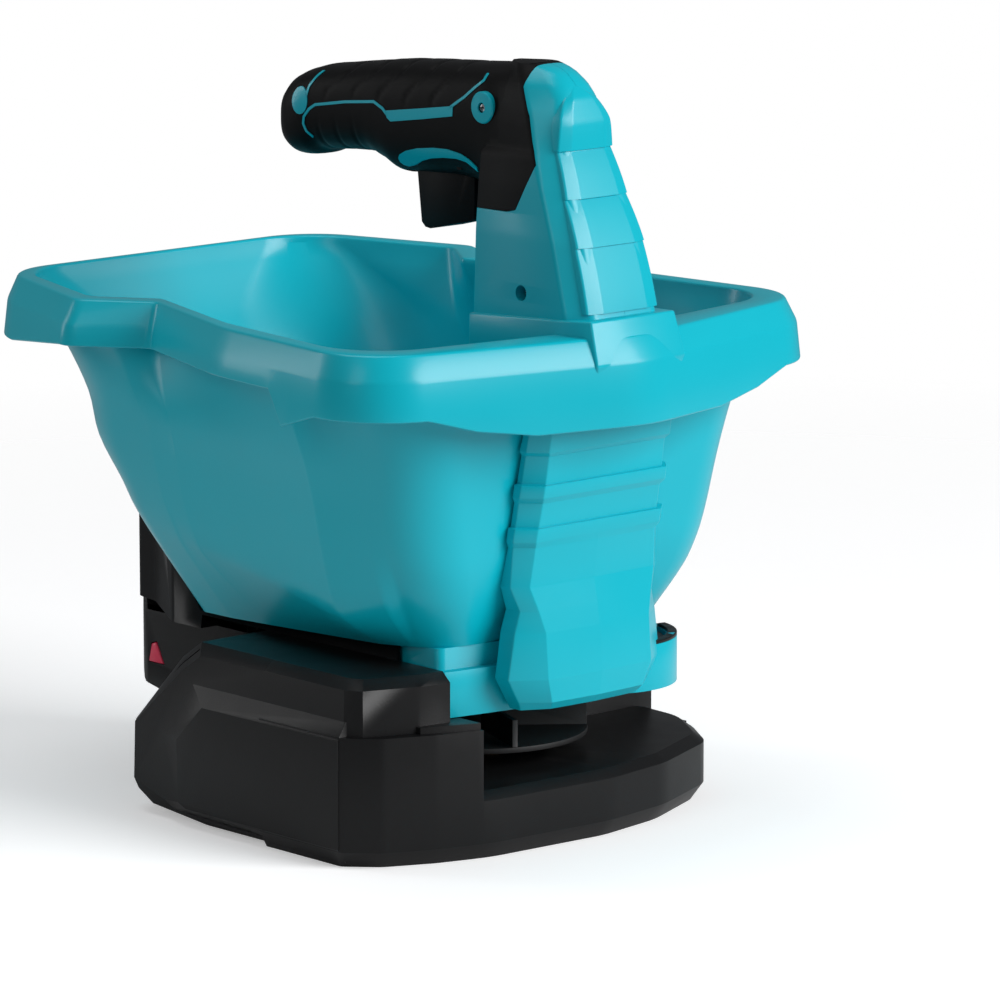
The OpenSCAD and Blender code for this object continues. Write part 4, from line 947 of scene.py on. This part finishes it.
def build_trims(look):
    """Teal lines, wedges, screw caps and trigger lips, most of them cut out of a slightly larger grip."""
    pieces = []
    proud = mm(look.trim_proud)
    width = mm(look.line_width)
    shapes = (("cap_line", ribbon(CAP_LINE, width), TRIM_ROOT, proud),
              ("under_line", ribbon(UNDER_LINE, width), TRIM_ROOT, proud),
              ("tail", ribbon(TAIL, width), TRIM_ROOT, proud),
              ("wedge", WEDGE, TRIM_ROOT, proud),
              ("lip", LIP_ARC, LIP_ROOT, proud + 0.35),
              ("boss_rear", disc_outline(BOSS_REAR, BOSS_REAR_R, 0.8), TRIM_ROOT, proud))
    for name, outline, root, height in shapes:
        for side in (-1, 1):
            solid = grip_loft(f"{name}_base", -height, look, cuts=False)
            low, high = sorted((side * root, side * TRIM_REACH))
            pieces.append(combined(solid, "INTERSECT", prism(f"{name}_zone", outline, low, high)))
    for side in (-1, 1):
        cap = [(r, side * x) for r, x in CAP_SHAPE]
        pieces.append(lathe("boss_front", cap, (0, *BOSS_FRONT), axis="x", steps=56))
    trim = joined("grip_trim", pieces)
    well = lathe("well", [(WELL_R, -30), (WELL_R, WELL_FLOOR)], (0, *BOSS_FRONT), axis="x", steps=32)
    combined(trim, "DIFFERENCE", well)
    settle(trim, "frame", "teal_gloss", "grip_inlay", angle=34)


# Controls

DIAL = (37.123, -29.123)
DIAL_FACE = 75.0
DIAL_AIM = -55.0
NUMBERS_R = 17.6
SETTINGS = 8
DIAL_CROSS = ((-4.5, 0), (-3.4, -1.3), (3.4, -1.3), (4.5, 0), (3.4, 1.3), (-3.4, 1.3))
POINTER = ((27.0, 0), (29.9, -4.2), (29.9, 4.2))  # radius, degrees
TICK = ((26.8, -0.5), (30.0, -0.5), (30.0, 0.5), (26.8, 0.5))  # radius, degrees
TICK_PLACES = (-30, -15, 15, 30)
LUG_CLEAR_R = 30.8
LUG_TOP = 77.8
WINDOW_TOP = 77.3
WHEEL = (46.2, 141.8)
WHEEL_LOW = 86.0
WHEEL_HIGH = 91.0
WHEEL_R = 12.0
WHEEL_BORE_R = 2.3
WHEEL_AIM = 30.0
RIB_LEVELS = ((0.28, 2.1, -0.9), (0.28, 2.1, 0.0), (0.2, 1.9, 0.28))  # half width, half length, height


def build_dial_marks(look):
    """Numbers and finger cross on the dial; pointer and ticks on its window."""
    def polar(radius, degrees):
        a = math.radians(DIAL_AIM + degrees)
        return DIAL[0] + radius * math.cos(a), DIAL[1] + radius * math.sin(a)
    marks = []
    for k in range(SETTINGS):
        text = str(k or SETTINGS)
        angle = math.radians(DIAL_AIM - 360 / SETTINGS * k)
        out = Vector((math.cos(angle), math.sin(angle), 0))
        spot = Vector((*DIAL, DIAL_FACE + 0.05)) + out * NUMBERS_R
        marks.append(lettering(f"mark_{k}", text, mm(look.mark_size), 0.08, standing(spot, (0, 0, 1), out)))
    for turn in (0, 90):
        a = math.radians(turn + DIAL_AIM)
        ux, uy = math.cos(a), math.sin(a)
        outline = [(DIAL[0] + u * ux - v * uy, DIAL[1] + u * uy + v * ux) for u, v in DIAL_CROSS]
        marks.append(prism("cross", outline, DIAL_FACE - 1.35, DIAL_FACE - 0.9, "z"))
    settle(joined("dial_numbers", marks), "dial", "ink_white", slot="grey_dial")
    arrow = [polar(*corner) for corner in POINTER]
    pointer = prism("dial_pointer", arrow, WINDOW_TOP, WINDOW_TOP + 0.2, "z")
    settle(pointer, "frame", "pointer_teal", slot="teal_gloss")
    ticks = []
    for place in TICK_PLACES:
        corners = [polar(radius, place + degrees) for radius, degrees in TICK]
        ticks.append(prism("tick", corners, WINDOW_TOP, WINDOW_TOP + 0.18, "z"))
    settle(joined("dial_ticks", ticks), "frame", "grey_inner", slot="black_gloss")


def add_input(tree, name, kind, default=None):
    socket = tree.interface.new_socket(name=name, in_out="INPUT", socket_type=kind)
    if default is not None:
        socket.default_value = default
    return socket.identifier


def repeat_tree(name):
    """Copies of one object on a mesh's points, each turned to its point's aim, made real and painted."""
    tree = bpy.data.node_groups.new(name, "GeometryNodeTree")
    keys = {"points": add_input(tree, "Points", "NodeSocketGeometry"),
            "copy": add_input(tree, "Copied Piece", "NodeSocketObject"),
            "size": add_input(tree, "Scale", "NodeSocketFloat", 1.0),
            "finish": add_input(tree, "Finish", "NodeSocketMaterial")}
    tree.interface.new_socket(name="Geometry", in_out="OUTPUT", socket_type="NodeSocketGeometry")
    start = tree.nodes.new("NodeGroupInput")
    end = tree.nodes.new("NodeGroupOutput")
    info = tree.nodes.new("GeometryNodeObjectInfo")
    aim = tree.nodes.new("GeometryNodeInputNamedAttribute")
    aim.data_type = "FLOAT_VECTOR"
    aim.inputs["Name"].default_value = "aim"
    turn = tree.nodes.new("FunctionNodeAlignRotationToVector")
    turn.axis = "Z"
    place = tree.nodes.new("GeometryNodeInstanceOnPoints")
    real = tree.nodes.new("GeometryNodeRealizeInstances")
    paint = tree.nodes.new("GeometryNodeSetMaterial")
    link = tree.links.new
    link(start.outputs["Points"], place.inputs["Points"])
    link(start.outputs["Copied Piece"], info.inputs["Object"])
    link(info.outputs["Geometry"], place.inputs["Instance"])
    link(aim.outputs["Attribute"], turn.inputs["Vector"])
    link(turn.outputs["Rotation"], place.inputs["Rotation"])
    link(start.outputs["Scale"], place.inputs["Scale"])
    link(place.outputs["Instances"], real.inputs["Geometry"])
    link(real.outputs["Geometry"], paint.inputs["Geometry"])
    link(start.outputs["Finish"], paint.inputs["Material"])
    link(paint.outputs["Geometry"], end.inputs["Geometry"])
    return tree, keys


def repeated(name, part, spots, aims, finish, size=1.0):
    """One mesh of copies of a part at spots in millimetres, its Z axis along each aim."""
    tree, keys = repeat_tree(f"{name}_tree")
    bm = bmesh.new()
    layer = bm.verts.layers.float_vector.new("aim")
    for spot, aim in zip(spots, aims):
        vert = bm.verts.new(Vector(spot) * MM)
        vert[layer] = Vector(aim).normalized()
    obj = to_object(bm, name)
    mod = obj.modifiers.new("Repeat", "NODES")
    mod.node_group = tree
    mod[keys["copy"]] = part
    mod[keys["size"]] = size
    mod[keys["finish"]] = finish
    applied(obj)
    if not len(obj.data.polygons):
        raise RuntimeError(f"{name} has no copies")
    drop(part)
    return obj


def bar(name, half_u, half_v, place):
    """A flat printed bar, stood on its surface by a matrix in metres."""
    outline = ((-half_u, -half_v), (half_u, -half_v), (half_u, half_v), (-half_u, half_v))
    obj = prism(name, outline, -0.1, 0.1, "z")
    obj.data.transform(place)
    return obj


def build_wheel(look):
    """Thumbwheel: a hub and groups of knurl ribs round its rim; the bare places between carry the number."""
    rim, low, high = WHEEL_R - 0.7, WHEEL_LOW, WHEEL_HIGH
    middle = Vector((*WHEEL, (low + high) / 2))
    profile = ((WHEEL_BORE_R, low), (rim - 0.5, low), (rim, low + 0.5), (rim, high - 0.5), (rim - 0.5, high),
               (WHEEL_BORE_R, high))
    hub = lathe("wheel_hub", profile, (*WHEEL, 0), steps=96)
    rib = loft("rib", [[(-u, -v, z), (u, -v, z), (u, v, z), (-u, v, z)] for u, v, z in RIB_LEVELS])
    spots, aims = [], []
    for k in range(look.knurls):
        if k % 10 in (0, 9):
            continue
        a = math.radians(WHEEL_AIM + 360 * k / look.knurls)
        aims.append(Vector((math.cos(a), math.sin(a), 0)))
        spots.append(middle + aims[-1] * (WHEEL_R - 0.35))
    ribs = repeated("wheel_ribs", rib, spots, aims, MATERIALS["red"])
    settle(joined("thumb_wheel", [hub, ribs]), "speed", "red", "speed_wheel")
    a = math.radians(WHEEL_AIM)
    out = Vector((math.cos(a), math.sin(a), 0))
    across = Vector((-math.sin(a), math.cos(a), 0))
    place = standing(middle + out * (WHEEL_R - 0.66), out, (0, 0, 1))
    settle(lettering("wheel_number", "6", 3.6, 0.06, place), "speed", "ink_white", slot="red")
    marks = []
    for word, away in (("minus", -15.0), ("plus", 15.0)):
        hit, normal = surface_hit("rear_housing", middle + across * away + out * 60, -out)
        place = standing(hit + normal * 0.02, normal, (0, 0, 1))
        marks.append(bar(word, 2.0, 0.55, place))
        if word == "plus":
            marks.append(bar(word, 0.55, 2.0, place))
    settle(joined("speed_marks", marks), "frame", "ink_white", slot="black_gloss")


def rounded_screw(name, r):
    """A pan head of radius r with a cross recess and a short shank, its Z axis out of the head."""
    profile = ((r * 0.5, -4), (r * 0.5, 0), (r, 0), (r, r * 0.35), (r * 0.86, r * 0.58), (r * 0.55, r * 0.72),
               (0.3, r * 0.76))
    body = lathe(name, profile, (0, 0, 0), steps=32)
    for u, v in ((r * 0.6, r * 0.16), (r * 0.16, r * 0.6)):
        slot = prism("recess", [(-u, -v), (u, -v), (u, v), (-u, v)], r * 0.35, r * 2, "z")
        combined(body, "DIFFERENCE", slot)
    return body


def build_screws(look):
    """The heads of the handle's screws on its left side; they replace the CAD's screws."""
    heads = rounded_screw("head", 1.9)
    spots = [(-16.0, *BOSS_FRONT), (-16.0, *BOSS_REAR), (-19.0, *POST_SCREW)]
    whole = repeated("screw_heads", heads, spots, [(-1, 0, 0)] * len(spots), MATERIALS["steel"])
    settle(whole, "frame", "steel", "handle_screws")


BLACKENED = ("trigger_pin",)


def finish_cad(look):
    """A procedural finish for every CAD node."""
    for name, node in frame["nodes"].items():
        node.data.materials.clear()
        node.data.materials.append(MATERIALS["black_soft" if name in BLACKENED else node_slot(name)])


def node_slot(name):
    """The material slot that the record gives a node."""
    for part in frame["record"]["subparts"]:
        if part["node"] == name:
            return part["material_slot"]
    raise RuntimeError(f"the record has no slot for {name}")


# Studio

LAMPS_AIM = (0, 0.05, 0.16)
LAMPS = (
    # name, place in metres, width, height, watts
    ("key", (0.9, -2.3, 1.35), 1.7, 1.7, 82),
    ("left", (-2.2, -0.3, 1.3), 0.7, 1.6, 5),
    ("top", (-0.2, 0.5, 2.1), 1.2, 1.2, 9),
    ("edge", (-1.2, 1.9, 0.8), 0.4, 1.4, 7),
)
FLOOR_HALF = 6.0
FADE_START = 0.35


def area_light(name, spot, target, width, height, power):
    data = bpy.data.lights.new(name, "AREA")
    data.shape = "RECTANGLE"
    data.size = width
    data.size_y = height
    data.energy = power
    obj = bpy.data.objects.new(name, data)
    bpy.context.scene.collection.objects.link(obj)
    obj.location = spot
    obj.rotation_euler = (Vector(target) - Vector(spot)).to_track_quat("-Z", "Y").to_euler()
    return obj


def build_stage(look):
    """A white floor that fades out and keeps the shadow, four lamps, a pale room and the photo's camera."""
    scene = bpy.context.scene
    bm = bmesh.new()
    bmesh.ops.create_grid(bm, x_segments=2, y_segments=2, size=FLOOR_HALF)
    floor = to_object(bm, "studio_floor")
    kit = Finish("studio_white", Metallic=0.0, Roughness=0.9)
    soft = kit.noise(3.0, 2.0, 0.5)
    kit.drive("Base Color", kit.mix(soft, (0.86, 0.86, 0.87, 1), (0.9, 0.9, 0.9, 1)))
    away = kit.node("ShaderNodeVectorMath", {"operation": "LENGTH"}, "Value", n0=kit.place)
    fade = away.above(look.floor_reach * FADE_START, 1.0 / (look.floor_reach * (1 - FADE_START)))
    kit.drive("Alpha", 1.0 - fade)
    rays = kit.node("ShaderNodeLightPath", output="Is Camera Ray")
    kit.drive("Emission Color", kit.mix(rays, (0, 0, 0, 1), (1, 1, 1, 1)))
    kit.shader.inputs["Emission Strength"].default_value = look.floor_glow
    floor.data.materials.append(kit.material)
    world = bpy.data.worlds.new("studio_world")
    scene.world = world
    world.use_nodes = True
    tree = world.node_tree
    tree.nodes.clear()
    end = tree.nodes.new("ShaderNodeOutputWorld")
    room = tree.nodes.new("ShaderNodeBackground")
    plain = tree.nodes.new("ShaderNodeBackground")
    ray = tree.nodes.new("ShaderNodeLightPath")
    mix = tree.nodes.new("ShaderNodeMixShader")
    room.inputs["Color"].default_value = (0.92, 0.96, 1.0, 1)
    room.inputs["Strength"].default_value = look.world_light
    plain.inputs["Color"].default_value = (1, 1, 1, 1)
    plain.inputs["Strength"].default_value = 1.0
    tree.links.new(ray.outputs["Is Camera Ray"], mix.inputs["Fac"])
    tree.links.new(room.outputs[0], mix.inputs[1])
    tree.links.new(plain.outputs[0], mix.inputs[2])
    tree.links.new(mix.outputs[0], end.inputs["Surface"])
    for name, spot, width, height, watts in LAMPS:
        area_light(name, spot, LAMPS_AIM, width, height, watts * look.light_power)
    camera = bpy.data.cameras.new("photo_camera")
    camera.lens = PHOTO_LENS
    camera.sensor_width = SENSOR
    camera.clip_end = 50
    view = bpy.data.objects.new("photo_camera", camera)
    scene.collection.objects.link(view)
    view.location = PHOTO_CAMERA
    view.rotation_euler = PHOTO_LOOK.to_track_quat("-Z", "Y").to_euler()
    scene.camera = view
    scene.view_settings.view_transform = "Standard"


# Add-on

class SpreaderLook(bpy.types.PropertyGroup):
    """Sizes and colours that a user can change before the pieces are built."""
    teal: bpy.props.FloatVectorProperty(
        name="Teal", description="Colour of the hopper, post and neck", subtype="COLOR", size=3,
        default=srgb(0, 176, 194)[:3], min=0, max=1)
    black: bpy.props.FloatVectorProperty(
        name="Black", description="Colour of the base, grip and rear housing", subtype="COLOR", size=3,
        default=srgb(16, 16, 17)[:3], min=0, max=1)
    red: bpy.props.FloatVectorProperty(
        name="Red", description="Colour of the thumbwheel and the pack's buttons", subtype="COLOR", size=3,
        default=srgb(226, 28, 76)[:3], min=0, max=1)
    gloss: bpy.props.FloatProperty(
        name="Teal Roughness", description="Surface roughness of the teal mouldings", default=0.3, min=0.05,
        max=1)
    rim_round: bpy.props.FloatProperty(
        name="Rim Radius", description="Rounding of the hopper rim's edges", default=0.0011, min=0.0002,
        max=0.002, unit="LENGTH")
    column_round: bpy.props.FloatProperty(
        name="Column Radius", description="Rounding of the front column's upright edges", default=0.0012,
        min=0.0003, max=0.003, unit="LENGTH")
    block_chamfer: bpy.props.FloatProperty(
        name="Block Chamfer", description="Width of the chamfer round the base block's top", default=0.0045,
        min=0.001, max=0.008, unit="LENGTH")
    edge_scale: bpy.props.FloatProperty(
        name="Edge Scale", description="Multiplies the rounding of the housings' edges", default=1.0, min=0.2,
        max=1.5)
    step_swell: bpy.props.FloatProperty(
        name="Step Swell", description="How far each segment of the post's front bulges", default=0.00055,
        min=0, max=0.002, unit="LENGTH")
    groove: bpy.props.FloatProperty(
        name="Groove Depth", description="Depth of the grip's slanted grooves", default=0.00055, min=0,
        max=0.002, unit="LENGTH")
    trim_proud: bpy.props.FloatProperty(
        name="Trim Height", description="How far the teal lines stand out of the grip", default=0.00025,
        min=0.0001, max=0.001, unit="LENGTH")
    line_width: bpy.props.FloatProperty(
        name="Line Width", description="Width of the teal lines on the grip", default=0.0012, min=0.0004,
        max=0.003, unit="LENGTH")
    mark_size: bpy.props.FloatProperty(
        name="Number Size", description="Height of the dial's numbers", default=0.0075, min=0.003, max=0.012,
        unit="LENGTH")
    knurls: bpy.props.IntProperty(
        name="Knurl Ribs", description="Rib places round the thumbwheel", default=60, min=20, max=90)
    light_power: bpy.props.FloatProperty(
        name="Light Power", description="Multiplies the studio lights", default=1.0, min=0.1, max=5)
    world_light: bpy.props.FloatProperty(
        name="Room Light", description="Strength of the even light from all sides", default=0.16, min=0,
        max=2)
    floor_reach: bpy.props.FloatProperty(
        name="Floor Reach", description="Distance from the object at which the floor has faded out",
        default=1.1, min=0.4, max=5, unit="LENGTH")
    floor_glow: bpy.props.FloatProperty(
        name="Floor Glow", description="Light added to the floor as the camera sees it", default=0.35, min=0,
        max=1)


class BuildStep:
    """What each building operator shares: it makes the finishes if need be, then its own pieces."""
    bl_options = {"REGISTER", "UNDO"}
    work = None

    def execute(self, context):
        look = context.scene.spreader_look
        if not MATERIALS:
            make_materials(look)
        self.work(look)
        return {"FINISHED"}


class SPREADER_OT_finishes(BuildStep, bpy.types.Operator):
    """Give every CAD node a procedural finish"""
    bl_idname = "spreader.finishes"
    bl_label = "Finish CAD Nodes"
    work = staticmethod(finish_cad)


class SPREADER_OT_hopper(BuildStep, bpy.types.Operator):
    """Build the hopper with its folded rim, skirt and collar"""
    bl_idname = "spreader.hopper"
    bl_label = "Hopper"
    work = staticmethod(build_hopper)


class SPREADER_OT_column(BuildStep, bpy.types.Operator):
    """Build the ribbed cover down the hopper's front"""
    bl_idname = "spreader.column"
    bl_label = "Front Column"
    work = staticmethod(build_column)


class SPREADER_OT_base(BuildStep, bpy.types.Operator):
    """Build the base block and its tray"""
    bl_idname = "spreader.base"
    bl_label = "Base"
    work = staticmethod(build_base)


class SPREADER_OT_housings(BuildStep, bpy.types.Operator):
    """Build the housings and moving parts with rounded edges"""
    bl_idname = "spreader.housings"
    bl_label = "Housings"
    work = staticmethod(build_housings)


class SPREADER_OT_handle(BuildStep, bpy.types.Operator):
    """Build the post's halves, its ribbed tongue and the grip's halves"""
    bl_idname = "spreader.handle"
    bl_label = "Handle"
    work = staticmethod(build_handle)


class SPREADER_OT_trims(BuildStep, bpy.types.Operator):
    """Build the grip's teal lines, wedges, screw caps and trigger lips"""
    bl_idname = "spreader.trims"
    bl_label = "Grip Trim"
    work = staticmethod(build_trims)


class SPREADER_OT_dial(BuildStep, bpy.types.Operator):
    """Print the flow dial's numbers, cross, pointer and ticks"""
    bl_idname = "spreader.dial"
    bl_label = "Dial Marks"
    work = staticmethod(build_dial_marks)


class SPREADER_OT_wheel(BuildStep, bpy.types.Operator):
    """Build the knurled thumbwheel and its marks"""
    bl_idname = "spreader.wheel"
    bl_label = "Thumbwheel"
    work = staticmethod(build_wheel)


class SPREADER_OT_screws(BuildStep, bpy.types.Operator):
    """Build the handle's screw heads"""
    bl_idname = "spreader.screws"
    bl_label = "Screws"
    work = staticmethod(build_screws)


class SPREADER_OT_stage(BuildStep, bpy.types.Operator):
    """Set up the studio floor, lights and the photo's camera"""
    bl_idname = "spreader.stage"
    bl_label = "Studio"
    work = staticmethod(build_stage)


STEPS = (SPREADER_OT_finishes, SPREADER_OT_hopper, SPREADER_OT_column, SPREADER_OT_base, SPREADER_OT_housings,
         SPREADER_OT_handle, SPREADER_OT_trims, SPREADER_OT_dial, SPREADER_OT_wheel, SPREADER_OT_screws,
         SPREADER_OT_stage)


class SPREADER_PT_panel(bpy.types.Panel):
    """Lists the settings and the building steps"""
    bl_label = "Handheld Spreader"
    bl_idname = "SPREADER_PT_panel"
    bl_space_type = "VIEW_3D"
    bl_region_type = "UI"
    bl_category = "Spreader"

    def draw(self, context):
        look = context.scene.spreader_look
        for name in look.__annotations__:
            self.layout.prop(look, name)
        for step in STEPS:
            self.layout.operator(step.bl_idname)


CLASSES = (SpreaderLook,) + STEPS + (SPREADER_PT_panel,)


def register():
    for cls in CLASSES:
        bpy.utils.register_class(cls)
    bpy.types.Scene.spreader_look = bpy.props.PointerProperty(type=SpreaderLook)


def unregister():
    del bpy.types.Scene.spreader_look
    for cls in reversed(CLASSES):
        bpy.utils.unregister_class(cls)


def main():
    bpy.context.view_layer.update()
    register()
    for step in STEPS:
        group, name = step.bl_idname.split(".")
        getattr(getattr(bpy.ops, group), name)()


if __name__ == "__main__":
    main()
